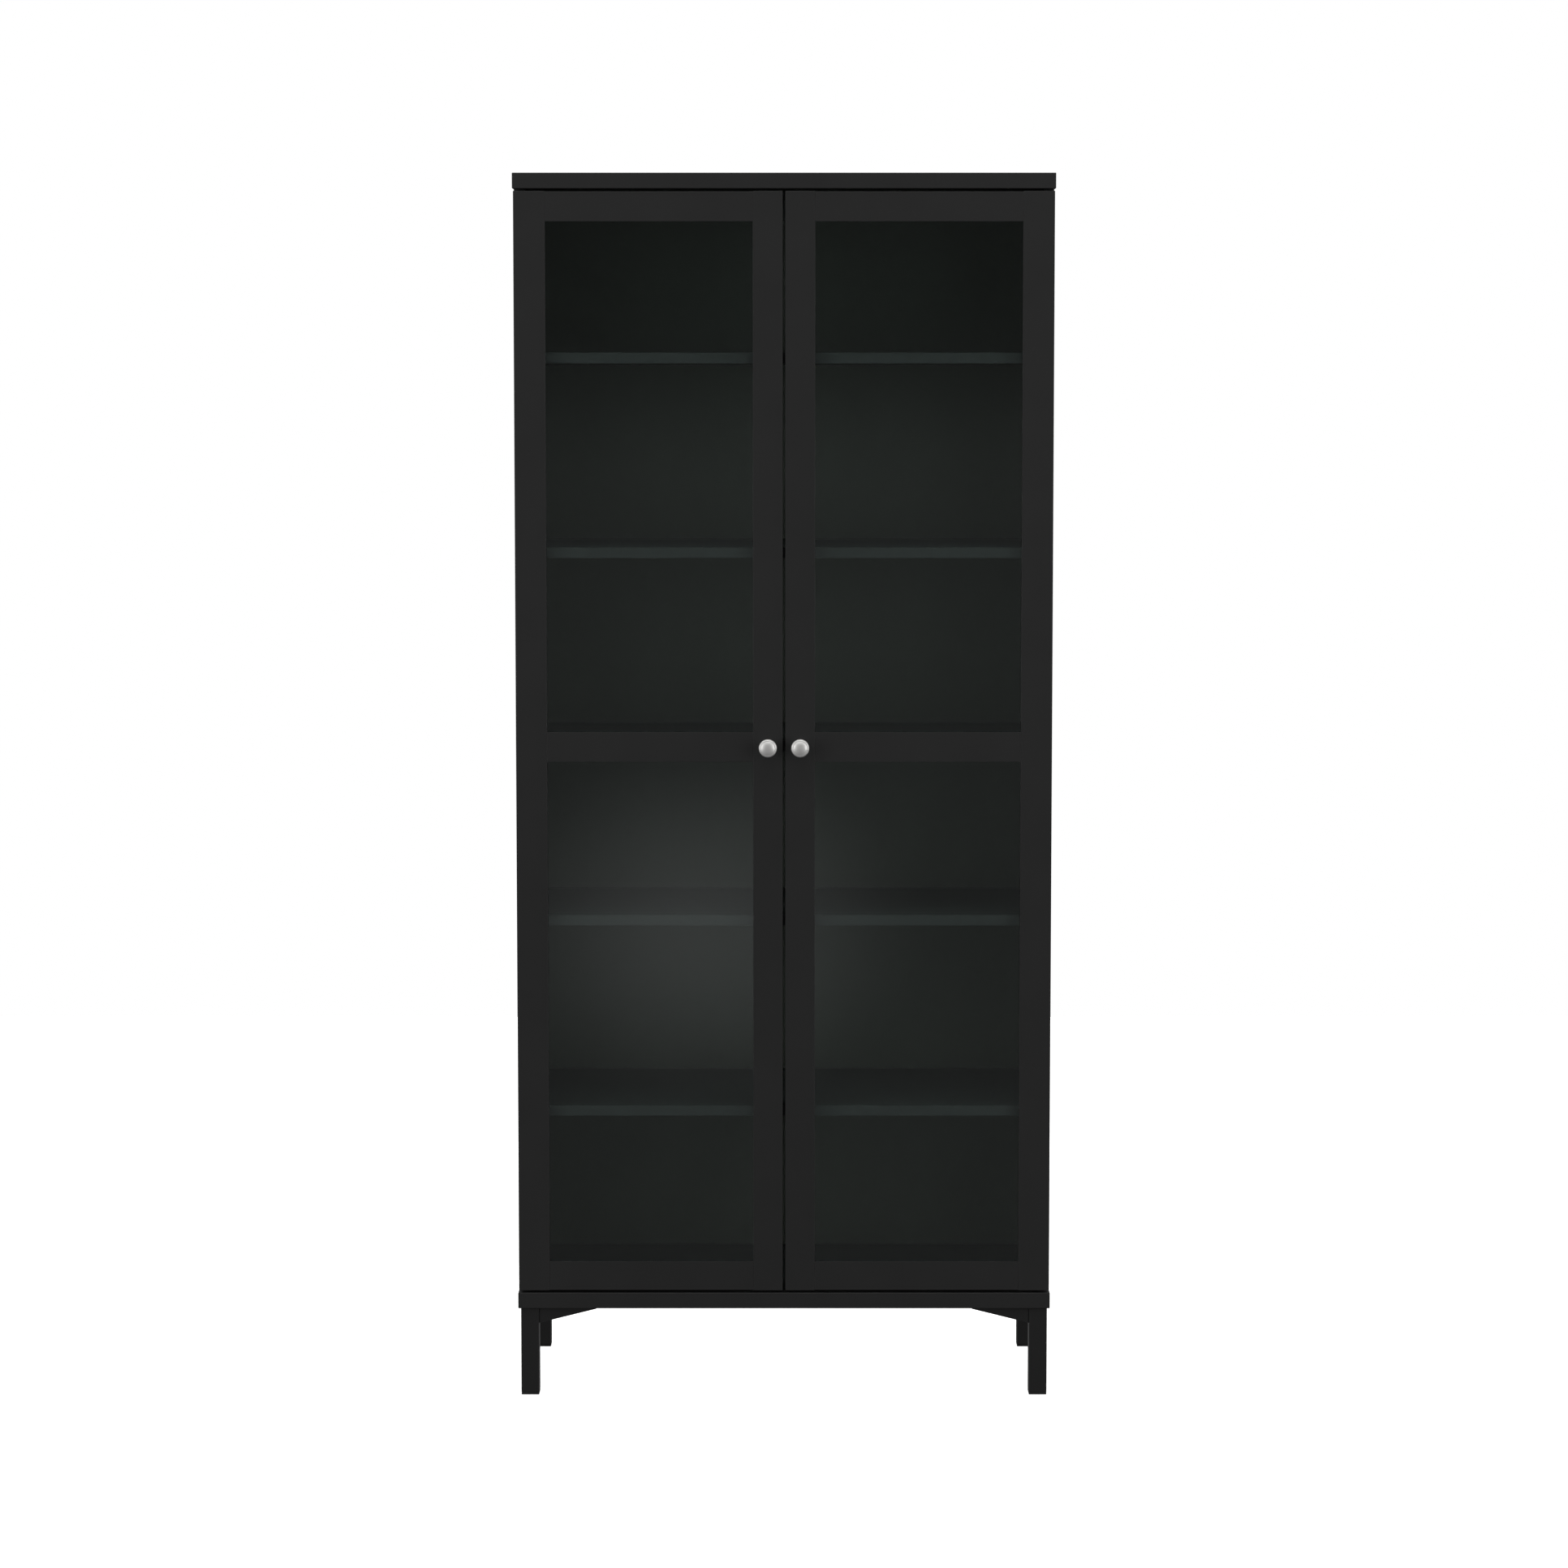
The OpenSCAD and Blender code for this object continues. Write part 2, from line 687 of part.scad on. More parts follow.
module hinge_stile(side) {
    color(black) on_door(side) difference() {
        translate([0, 0, door_z0]) linear_extrude(door_z1 - door_z0) polygon(concat(
            [[rail_x1, front_y], [rail_x1, door_back_y]],
            edge_arc(door_x1 - door_edge_r, door_back_y - door_edge_r, door_edge_r, 6),
            [[door_x1, front_y]]
        ));
        rebate(rail_x1 - eps, rail_x1 + rebate_w, upper_open);
        rebate(rail_x1 - eps, rail_x1 + rebate_w, lower_open);
        at_frame_dowels(rail_x1) frame_dowel_hole();
        at_hinges() {
            bar_y([cup_x, door_back_y + eps, 0], cup_d, -cup_depth - eps);
            at_cup_screws() bar_y([0, eps, 0], cup_screw_d, -cup_screw_l - eps);
        }
    }
}
module meeting_stile(side) {
    color(black) on_door(side) difference() {
        slab([door_x0, front_y, door_z0], [rail_x0, door_back_y, door_z1]);
        rebate(rail_x0 - rebate_w, rail_x0 + eps, upper_open);
        rebate(rail_x0 - rebate_w, rail_x0 + eps, lower_open);
        at_frame_dowels(rail_x0) frame_dowel_hole();
        bar_y([knob_x, front_y - eps, middle_z], knob_screw_d, door_t + 2 * eps);
        bar_y([knob_x, door_back_y + eps, middle_z], screw_head_d + 1, -3 - eps);
    }
}
module rail(side, span) {
    color(black) on_door(side) difference() {
        slab([rail_x0, front_y, span[0]], [rail_x1, door_back_y, span[1]]);
        rebate(rail_x0 - eps, rail_x1 + eps, upper_open);
        rebate(rail_x0 - eps, rail_x1 + eps, lower_open);
        at_frame_dowels(rail_x0) frame_dowel_hole();
        at_frame_dowels(rail_x1) frame_dowel_hole();
    }
}
module left_hinge_stile() {
    hinge_stile(-1);
}
module right_hinge_stile() {
    hinge_stile(1);
}
module left_meeting_stile() {
    meeting_stile(-1);
}
module right_meeting_stile() {
    meeting_stile(1);
}
module left_top_rail() {
    rail(-1, top_rail_z);
}
module right_top_rail() {
    rail(1, top_rail_z);
}
module left_middle_rail() {
    rail(-1, middle_rail_z);
}
module right_middle_rail() {
    rail(1, middle_rail_z);
}
module left_bottom_rail() {
    rail(-1, bottom_rail_z);
}
module right_bottom_rail() {
    rail(1, bottom_rail_z);
}
module frame_dowels(side) {
    color(birch) on_door(side) {
        at_frame_dowels(rail_x0) frame_dowel_hole();
        at_frame_dowels(rail_x1) frame_dowel_hole();
    }
}
module left_frame_dowels() {
    frame_dowels(-1);
}
module right_frame_dowels() {
    frame_dowels(1);
}

// Panes and the beads that hold them from behind
module pane(side, open) {
    color(glass) on_door(side)
        slab([rail_x0 - glass_lap, front_y + lip_t, open[0] - glass_lap],
            [rail_x1 + glass_lap, bead_y, open[1] + glass_lap]);
}
module left_upper_glass() {
    pane(-1, upper_open);
}
module right_upper_glass() {
    pane(1, upper_open);
}
module left_lower_glass() {
    pane(-1, lower_open);
}
module right_lower_glass() {
    pane(1, lower_open);
}
module beads(open) {
    x0 = rail_x0 - rebate_w;
    x1 = rail_x1 + rebate_w;
    z0 = open[0] - rebate_w;
    z1 = open[1] + rebate_w;
    inset = bead_w + bead_joint;
    slab([x0, bead_y, z0], [x0 + bead_w, door_back_y, z1]);
    slab([x1 - bead_w, bead_y, z0], [x1, door_back_y, z1]);
    slab([x0 + inset, bead_y, z0], [x1 - inset, door_back_y, z0 + bead_w]);
    slab([x0 + inset, bead_y, z1 - bead_w], [x1 - inset, door_back_y, z1]);
}
module glass_beads(side) {
    color(black) on_door(side) {
        beads(upper_open);
        beads(lower_open);
    }
}
module left_glass_beads() {
    glass_beads(-1);
}
module right_glass_beads() {
    glass_beads(1);
}

// Hinge cups, let into the hinge stile
module at_cup_screws() {
    for (z = [-flange_hole_z, flange_hole_z]) translate([cup_x, door_back_y, z]) children();
}
module hinge_cups(side) {
    inner_d = cup_d - 2 * cup_wall;
    color(steel) on_door(side) at_hinges() difference() {
        union() {
            bar_y([cup_x, door_back_y, 0], cup_d, -cup_depth);
            slab([cup_x - flange_w / 2, door_back_y, -flange_h / 2],
                [cup_x + flange_w / 2, door_back_y + flange_t, flange_h / 2]);
        }
        bar_y([cup_x, door_back_y + flange_t + eps, 0], inner_d, -cup_depth + cup_wall - flange_t - eps);
        at_cup_screws() bar_y([0, -eps, 0], cup_screw_d, flange_t + 2 * eps);
    }
}
module left_hinge_cups() {
    hinge_cups(-1);
}
module right_hinge_cups() {
    hinge_cups(1);
}

// The knob's screw from behind and the short screws of the hinge cups
module door_screws(side) {
    color(steel) on_door(side) {
        bar_y([knob_x, door_back_y - 3, middle_z], knob_screw_d, -door_t + 3 - 8);
        bar_y([knob_x, door_back_y - 3, middle_z], screw_head_d, 2.5);
        at_hinges() at_cup_screws() {
            bar_y([0, flange_t, 0], cup_screw_d, -cup_screw_l - flange_t);
            bar_y([0, flange_t, 0], cup_screw_d + 2, 0.7);
        }
    }
}
module left_door_screws() {
    door_screws(-1);
}
module right_door_screws() {
    door_screws(1);
}
module bumper(side) {
    color("#d8d8d4") on_door(side)
        bar_y([rail_x0 - bumper_d - 1, door_back_y, middle_z], bumper_d, bumper_t);
}
module left_bumper() {
    bumper(-1);
}
module right_bumper() {
    bumper(1);
}

// Turned knob with a shallow ring in its face
module knob(side) {
    r = knob_d / 2;
    h = knob_reach;
    ring = 0.77 * r;
    color("#b5b4b0") on_door(side) translate([knob_x, front_y, middle_z]) rotate([90, 0, 0]) difference() {
        rotate_extrude($fn = 96) polygon([
            [0, 0], [knob_foot_d / 2, 0], [knob_foot_d / 2, 2], [knob_foot_d / 2 - 2, 3.5],
            [knob_foot_d / 2 - 2.5, h - 16], [r - 4, h - 10.5], [r - 0.6, h - 8], [r, h - 6],
            [r, h - 3], [r - 0.8, h - 1.2], [ring + 0.6, h - 0.6], [ring, h - 1.4], [ring - 0.6, h - 0.9],
            [ring * 0.6, h - 0.3], [ring * 0.3, h], [0, h]
        ]);
        translate([0, 0, -eps]) cylinder(d = knob_screw_d, h = 8 + eps);
    }
}
module left_knob() {
    knob(-1);
}
module right_knob() {
    knob(1);
}

top_panel();
bottom_panel();
left_side_panel();
right_side_panel();
fixed_shelf();
upper_shelf_high();
upper_shelf_low();
lower_shelf_high();
lower_shelf_low();
upper_back_panel();
lower_back_panel();
shelf_pins();
cam_discs();
cam_bolts();
carcass_dowels();
back_panel_screws();
wall_rail();
front_left_leg();
front_right_leg();
rear_left_leg();
rear_right_leg();
foot_caps();
front_gussets();
rear_gussets();
side_gussets();
leg_bolts();
gusset_screws();
hinge_plates();
hinge_arms();
hinge_plate_screws();
left_hinge_links();
right_hinge_links();
left_hinge_stile();
left_meeting_stile();
left_top_rail();
left_middle_rail();
left_bottom_rail();
left_upper_glass();
left_lower_glass();
left_glass_beads();
left_frame_dowels();
left_hinge_cups();
left_door_screws();
left_bumper();
left_knob();
right_hinge_stile();
right_meeting_stile();
right_top_rail();
right_middle_rail();
right_bottom_rail();
right_upper_glass();
right_lower_glass();
right_glass_beads();
right_frame_dowels();
right_hinge_cups();
right_door_screws();
right_bumper();
right_knob();
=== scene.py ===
"""Finishes a packed china cabinet: lacquered carcass, framed glass doors, nickel knobs and the studio."""

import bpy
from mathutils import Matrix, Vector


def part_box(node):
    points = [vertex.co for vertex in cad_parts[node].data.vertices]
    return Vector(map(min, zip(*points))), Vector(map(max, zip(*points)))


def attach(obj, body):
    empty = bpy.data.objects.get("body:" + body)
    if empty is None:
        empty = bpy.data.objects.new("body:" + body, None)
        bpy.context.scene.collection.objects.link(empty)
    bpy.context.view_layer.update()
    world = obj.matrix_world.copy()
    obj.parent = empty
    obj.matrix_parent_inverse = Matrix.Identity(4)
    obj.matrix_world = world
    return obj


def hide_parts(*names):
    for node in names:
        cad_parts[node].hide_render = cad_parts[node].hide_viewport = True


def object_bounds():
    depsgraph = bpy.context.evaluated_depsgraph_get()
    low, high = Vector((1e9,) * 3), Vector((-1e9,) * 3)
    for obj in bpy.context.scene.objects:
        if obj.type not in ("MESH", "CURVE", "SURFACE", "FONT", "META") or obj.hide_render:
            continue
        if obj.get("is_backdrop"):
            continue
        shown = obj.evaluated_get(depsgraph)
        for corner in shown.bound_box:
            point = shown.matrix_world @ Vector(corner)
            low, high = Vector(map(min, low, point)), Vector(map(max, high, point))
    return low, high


bl_info = {
    "name": "China Cabinet Finish",
    "version": (1, 0, 0),
    "blender": (4, 5, 0),
    "location": "View3D > Sidebar > Cabinet",
    "description": "Builds the finished pieces of a china cabinet with glass doors around its CAD frame",
    "category": "Object",
}

import math

import bpy
from bpy.props import FloatProperty, FloatVectorProperty, IntProperty, PointerProperty
from mathutils import Vector

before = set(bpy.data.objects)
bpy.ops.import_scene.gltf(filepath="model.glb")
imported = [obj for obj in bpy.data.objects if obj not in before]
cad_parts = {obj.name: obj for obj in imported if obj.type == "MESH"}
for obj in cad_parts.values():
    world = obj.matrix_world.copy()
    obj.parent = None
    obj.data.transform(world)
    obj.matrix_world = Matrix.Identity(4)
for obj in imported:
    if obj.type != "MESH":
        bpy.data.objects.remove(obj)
CAD_LOW, CAD_HIGH = (list(corner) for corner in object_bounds())

SIDES = {"left": -1, "right": 1}
SHELVES = ("upper_shelf_high", "upper_shelf_low", "lower_shelf_high", "lower_shelf_low")
LEVELS = ("lower", "upper")
MIRROR = (-1, 1, 1)  # left for right
UPEND = (1, 1, -1)  # top for bottom
MM = 0.001

# How finely round things are modelled
SHARP = math.radians(60)  # edges sharper than this are rounded
SMOOTH_BORED, SMOOTH_TURNED = math.radians(30), math.radians(40)  # sharper edges stay crisp when shaded
EXACT = 0.1 * MM  # tolerance for picking out edges by their place
# How far a face has to look outwards or to the rear to take its board's second finish; the rear's goes
# one step further round the edges
OUTER_SHARE, REAR_SHARE = 0.5, 0.3
HOLE_SIDES, PIN_HOLE_SIDES, CUP_HOLE_SIDES, KNOB_SIDES = 32, 24, 48, 72

# Refractive indices of the surfaces' outer layer
LACQUER_IOR, WOOD_IOR, GLASS_IOR, PLASTIC_IOR = 1.46, 1.45, 1.5, 1.49

# The wave texture draws one ring in this length at scale 1
WAVE_LENGTH = math.tau / 20

# Lights: where they stand, where they aim and how large they are, in metres; fill and rim on the right
TOP_PLACE, TOP_SIZE = (0, -1.9, 4.3), (2.6, 0.8)
FILL_PLACE, FILL_SIZE = (4.0, -3.4, 1.4), (2.4, 2.8)
RIM_PLACE, RIM_SIZE = (3.2, 2.4, 2.6), (1.4, 1.8)
GLOW_PLACE, GLOW_AIM, GLOW_SIZE = (-0.2, -3.56, 0.26), (-0.15, 0, 0.66), (1.15, 0.95)

# The surround's brightness changes between these shares of straight up, or of straight towards the camera
SKY_FROM, SKY_TO, SKY_LOW = -0.6, 0.8, 0.2  # SKY_LOW: brightness below, as a share of that overhead
HORIZON_FROM, HORIZON_TO = -0.03, 0.03
FRONT_FROM, FRONT_TO = 0.75, 0.95
BEHIND_TO, BEHIND_FROM = -0.9, -0.6

SENSOR_WIDTH = 36  # of the camera, in millimetres
FLOOR_SIZE = 7.0
FLOOR_CLOUD = 1 / 3.0  # width of the floor's faint clouds, in metres
WHITE = (1, 1, 1, 1)


def srgb(code):
    """The linear colour of an sRGB hex code such as #1e1e1d."""
    parts = [int(code[i:i + 2], 16) / 255 for i in (1, 3, 5)]
    return tuple(c / 12.92 if c <= 0.04045 else ((c + 0.055) / 1.055) ** 2.4 for c in parts)


def length(name, description, default, low=0.0, high=10.0):
    """A length property, in metres."""
    return FloatProperty(
        name=name, description=description, default=default, min=low, max=high, unit="LENGTH", precision=5
    )


def colour(name, description, code):
    """A colour property whose default is an sRGB hex code."""
    return FloatVectorProperty(
        name=name, description=description, default=srgb(code), subtype="COLOR", size=3, min=0, max=1
    )


def power(name, description, default):
    """The power of a light, in watts."""
    return FloatProperty(name=name, description=description, default=default, min=0, unit="POWER")


def brightness(name, description, default):
    """The strength of a surround or a glow."""
    return FloatProperty(name=name, description=description, default=default, min=0)


class CabinetSizes(bpy.types.PropertyGroup):
    """Sizes that the frame doesn't give by itself."""

    panel_arris: length("Panel arris", "Rounding of the top and bottom panels' edges", 1.0 * MM)
    board_arris: length("Board arris", "Rounding of the shelves' and side panels' edges", 0.6 * MM)
    frame_arris: length("Frame arris", "Rounding of the door stiles and rails", 0.7 * MM)
    seam_arris: length("Seam arris", "Rounding of a rail's end where it meets a stile", 0.35 * MM)
    leg_arris: length("Leg arris", "Rounding of the legs' and foot caps' edges, twice the gussets'", 1.2 * MM)
    door_round: length("Door round", "Rounding of a door's rear outer edge", 2.0 * MM)
    lip: length("Lip", "Thickness of the door frame in front of a pane", 4.5 * MM)
    rebate: length("Rebate", "Width of the rebate that holds a pane", 8.0 * MM)
    bead_setback: length("Bead setback", "Distance of a bead from the edge of the opening", 0.5 * MM)
    bead_chamfer: length("Bead chamfer", "Chamfer along a glazing bead's inner edge", 2.5 * MM)
    pane_arris: length("Pane arris", "Ground edge of a pane", 0.4 * MM)
    pin_hole: length("Pin hole", "Diameter of a shelf pin hole", 5.0 * MM)
    pin_depth: length("Pin hole depth", "Depth of a shelf pin hole", 10.0 * MM)
    pin_pitch: length("Pin pitch", "Spacing of the shelf pin holes", 32.0 * MM)
    pin_spares: IntProperty(name="Spare holes", description="Pin holes above and below a pin", default=2)
    pin_column: length("Pin column", "Distance of a pin column from the board's edge", 37.0 * MM)
    cam_hole: length("Cam hole", "Diameter of a cam disc's hole", 15.0 * MM)
    cam_depth: length("Cam depth", "Depth of a cam disc's hole", 12.5 * MM)
    cam_end: length("Cam end", "Distance of a cam disc from the board's end", 34.0 * MM)
    cam_inset: length("Cam inset", "Distance of a cam disc from the board's front or rear edge", 75.0 * MM)
    cup_hole: length("Cup hole", "Diameter of a hinge cup's hole", 26.0 * MM)
    cup_depth: length("Cup depth", "Depth of a hinge cup's hole", 11.5 * MM)
    hinge_end: length("Hinge end", "Distance of the end hinges from the door's ends", 100.0 * MM)
    hinge_drop: length("Hinge drop", "Distance of the middle hinge below the fixed shelf", 90.0 * MM)
    knob_recess: length("Knob screw recess", "Diameter of the recess for the knob screw's head", 8.0 * MM)
    knob_recess_depth: length("Recess depth", "Depth of the recess for the knob screw's head", 3.0 * MM)
    gusset_length: length("Gusset length", "Length of a gusset along the bottom panel", 86.5 * MM)
    gusset_tip: length("Gusset tip", "Height of a gusset's thin end", 2.0 * MM)
    anchor_hole: length("Anchor hole", "Diameter of a wall anchor hole in the wall rail", 6.5 * MM)
    anchor_place: length("Anchor place", "Distance of an anchor hole from the cabinet's middle", 200.0 * MM)
    anchor_drop: length("Anchor drop", "Distance of the anchor holes below the top panel", 11.0 * MM)


class CabinetColours(bpy.types.PropertyGroup):
    """Colours of the finishes."""

    lacquer: colour("Lacquer", "Satin black lacquer on doors and panels", "#181818")
    # painted shade: the legs and gussets take the doors' lacquer with a darker base colour, standing in for
    # the shade under the cabinet
    painted_shade_leg_lacquer: colour("Leg lacquer", "Deeper black lacquer on the legs and gussets", "#0d0d0d")
    foil: colour("Foil", "Black foil on the shelves and side panels", "#1a1c1b")
    back_foil: colour("Back foil", "Dark grey-olive foil on the front of the back panels", "#30312a")
    hardboard: colour("Hardboard", "Bare brown rear face of the back panels", "#5b4632")
    glass: colour("Glass", "Tint of the float glass", "#eef8f6")
    nickel: colour("Nickel", "Satin nickel plate on the knobs", "#e4e3e1")
    zinc: colour("Zinc", "Bright zinc plate on fittings and screws", "#b3b5b6")
    plastic: colour("Plastic", "Black moulded plastic of the foot caps", "#161616")
    bumper: colour("Bumper", "Soft clear bumpers behind the doors", "#dcdcd6")
    birch: colour("Birch", "Bare birch of the dowels", "#c9ad7f")
    floor: colour("Floor", "Plain pale studio floor", "#f4f4f2")


class CabinetStudio(bpy.types.PropertyGroup):
    """Where the camera stands, and how bright the lights and the surround are."""

    camera_distance: length("Camera distance", "From the door fronts to the camera", 5.90)
    camera_height: length("Camera height", "Height of the camera above the floor", 1.504)
    camera_pitch: FloatProperty(
        name="Camera pitch", description="Tilt of the camera below level", default=math.radians(4.808),
        subtype="ANGLE", unit="ROTATION",
    )
    camera_shift: FloatProperty(name="Camera shift", description="Vertical lens shift", default=-0.035)
    camera_lens: FloatProperty(name="Lens", description="Focal length", default=91.48, unit="CAMERA")
    top_power: power("Top", "Power of the light high above the doors", 18.2)
    fill_power: power("Fill", "Power of each soft light in front and to the side", 51.0)
    rim_power: power("Rim", "Power of each soft light behind and to the side", 40.0)
    glow_power: power("Glow", "Power of the small soft glow that the panes mirror", 1.0)
    front_dim: brightness("Front", "Brightness of the studio in front, above the horizon", 0.055)
    front_low: brightness("Front low", "Brightness of the studio in front, below the horizon", 0.14)
    surround: brightness("Surround", "Brightness of the studio overhead", 0.81)
    back_surround: brightness("Behind", "Brightness of the studio behind the cabinet", 0.35)
    floor_glow: brightness("Floor glow", "Light from under the translucent studio floor", 0.85)


# Selecting and modelling


def deselect():
    """Nothing is selected afterwards."""
    bpy.ops.object.select_all(action="DESELECT")


def activate(piece):
    """Only this piece is selected and active."""
    deselect()
    piece.select_set(True)
    bpy.context.view_layer.objects.active = piece


def settle(piece, name):
    """Names a new piece and puts its place into its mesh."""
    piece.name = piece.data.name = name
    activate(piece)
    bpy.ops.object.transform_apply(location=True, rotation=True, scale=True)
    return piece


def block(name, low, high):
    """A box between two corners, as a start for a board or bar."""
    deselect()
    low, high = Vector(low), Vector(high)
    bpy.ops.mesh.primitive_cube_add(size=1, location=(low + high) / 2, scale=high - low)
    return settle(bpy.context.active_object, name)


def rod(name, centre, axis, radius, depth, sides):
    """A round bar centred on a point, as a start for a cutter."""
    deselect()
    turn = Vector((0, 0, 1)).rotation_difference(Vector(axis)).to_euler()
    bpy.ops.mesh.primitive_cylinder_add(
        vertices=sides, radius=radius, depth=depth, location=centre, rotation=turn
    )
    return settle(bpy.context.active_object, name)


def outward(piece):
    """Turns every face of a closed piece outwards."""
    activate(piece)
    bpy.ops.object.mode_set(mode="EDIT")
    bpy.ops.mesh.select_all(action="SELECT")
    bpy.ops.mesh.normals_make_consistent(inside=False)
    bpy.ops.object.mode_set(mode="OBJECT")
    return piece


def copied(piece, name, move=(0, 0, 0), turn=0.0, flip=(1, 1, 1)):
    """A copy with a mesh of its own, flipped, then turned about the upright axis, then moved."""
    activate(piece)
    bpy.ops.object.duplicate(linked=False)
    copy = bpy.context.active_object
    copy.location, copy.rotation_euler.z, copy.scale = move, turn, flip
    settle(copy, name)
    return outward(copy) if min(flip) < 0 else copy


def pair(piece, name):
    """The right-hand piece and its mirror image for the left."""
    return {"right": piece, "left": copied(piece, f"left_{name}", flip=MIRROR)}


def bores(places, axis, diameter, depth, sides=HOLE_SIDES):
    """Cutters for like holes, as deep as given on each side of their places."""
    first = rod("bore", places[0], axis, diameter / 2, 2 * depth, sides)
    return [first] + [copied(first, "bore", Vector(place) - Vector(places[0])) for place in places[1:]]


def join(pieces, name):
    """One object from several, with the given name."""
    deselect()
    for piece in pieces:
        piece.select_set(True)
    bpy.context.view_layer.objects.active = pieces[0]
    if len(pieces) > 1:
        bpy.ops.object.join()
    pieces[0].name = pieces[0].data.name = name
    return pieces[0]


def choose_edges(piece, test):
    """Selects the edges whose two ends pass the test, and goes into edit mode."""
    activate(piece)
    bpy.ops.object.mode_set(mode="EDIT")
    bpy.ops.mesh.select_mode(type="EDGE")
    bpy.ops.mesh.select_all(action="DESELECT")
    bpy.ops.object.mode_set(mode="OBJECT")
    mesh = piece.data
    for edge in mesh.edges:
        edge.select = all(test(mesh.vertices[i].co) for i in edge.vertices)
    bpy.ops.object.mode_set(mode="EDIT")


def round_edges(piece, radius, steps, test=None):
    """Rounds the edges that pass the test, or every sharp edge."""
    choose_edges(piece, test or (lambda point: False))
    if test is None:
        bpy.ops.mesh.edges_select_sharp(sharpness=SHARP)
    bpy.ops.mesh.bevel(offset=radius, segments=steps, profile=0.5, affect="EDGES", clamp_overlap=True)
    bpy.ops.object.mode_set(mode="OBJECT")
    return piece


def cut(piece, cutters):
    """Takes the cutters away from the piece."""
    cutter = join(cutters, "cutter")
    change = piece.modifiers.new("cut", "BOOLEAN")
    change.operation = "DIFFERENCE"
    change.solver = "EXACT"
    change.object = cutter
    activate(piece)
    bpy.ops.object.modifier_apply(modifier=change.name)
    bpy.data.objects.remove(cutter, do_unlink=True)
    return piece


def deliver(piece, body, node, slot, *finishes):
    """Gives a finished piece its finishes, and puts it in the place of its CAD node."""
    piece.data.materials.clear()
    for finish in finishes:
        piece.data.materials.append(finish)
    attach(piece, body)
    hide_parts(node)
    return piece


def second_finish(piece, way, share):
    """Faces that look the given way by more than a share take the piece's second finish."""
    for face in piece.data.polygons:
        if face.normal.dot(way) > share:
            face.material_index = 1


def smooth(piece, angle):
    """Shades the piece smooth, apart from edges sharper than the angle."""
    activate(piece)
    bpy.ops.object.shade_smooth_by_angle(angle=angle)


# Materials


def new_material(name):
    """A node material, and its shader."""
    material = bpy.data.materials.new(name)
    material.use_nodes = True
    return material, material.node_tree.nodes["Principled BSDF"]


def add(tree, kind, settings=None, inputs=None, links=None):
    """Adds a node with its settings, its input values and its links from other nodes' outputs."""
    node = tree.nodes.new(kind)
    for name, value in (settings or {}).items():
        setattr(node, name, value)
    for name, value in (inputs or {}).items():
        node.inputs[name].default_value = value
    for name, output in (links or {}).items():
        tree.links.new(output, node.inputs[name])
    return node


def set_shader(shader, **values):
    """Sets constants on the shader's own sockets; an underscore stands for a space."""
    for name, value in values.items():
        shader.inputs[name.replace("_", " ")].default_value = value


def two_tone(tree, shader, base, factor, spread):
    """Varies the base colour up and down by a share of itself, by a pattern from 0 to 1."""
    ramp = add(tree, "ShaderNodeValToRGB", links={"Fac": factor})
    ramp.color_ramp.elements[0].position = 0.3
    ramp.color_ramp.elements[1].position = 0.7
    ramp.color_ramp.elements[0].color = (*[c * (1 - spread) for c in base], 1)
    ramp.color_ramp.elements[1].color = (*[c * (1 + spread) for c in base], 1)
    tree.links.new(ramp.outputs["Color"], shader.inputs["Base Color"])


def satin_black_lacquer(colours, name):
    """Sprayed satin lacquer on wood: a soft sheen with a faint orange peel of about 1.5 mm."""
    material, shader = new_material(name)
    # the legs' and gussets' copy takes a darker base colour: painted shade for the parts under the cabinet
    base = colours.painted_shade_leg_lacquer if name == "painted_shade_leg_lacquer" else colours.lacquer
    tree = material.node_tree
    set_shader(shader, IOR=LACQUER_IOR)
    place = add(tree, "ShaderNodeTexCoord")
    # orange peel, in dimples
    peel = add(tree, "ShaderNodeTexNoise", inputs={"Scale": 1 / (1.5 * MM), "Detail": 1.0},
               links={"Vector": place.outputs["Object"]})
    bump = add(tree, "ShaderNodeBump", inputs={"Strength": 0.12, "Distance": 0.06 * MM},
               links={"Height": peel.outputs["Fac"]})
    tree.links.new(bump.outputs["Normal"], shader.inputs["Normal"])
    # the spray coat is slightly uneven over a hand's breadth, 80 mm
    coat = add(tree, "ShaderNodeTexNoise", inputs={"Scale": 1 / (80 * MM), "Detail": 3.0},
               links={"Vector": place.outputs["Object"]})
    two_tone(tree, shader, base, coat.outputs["Fac"], 0.05)
    sheen = add(tree, "ShaderNodeMapRange", inputs={"To Min": 0.5, "To Max": 0.58},
                links={"Value": coat.outputs["Fac"]})
    tree.links.new(sheen.outputs["Result"], shader.inputs["Roughness"])
    return material


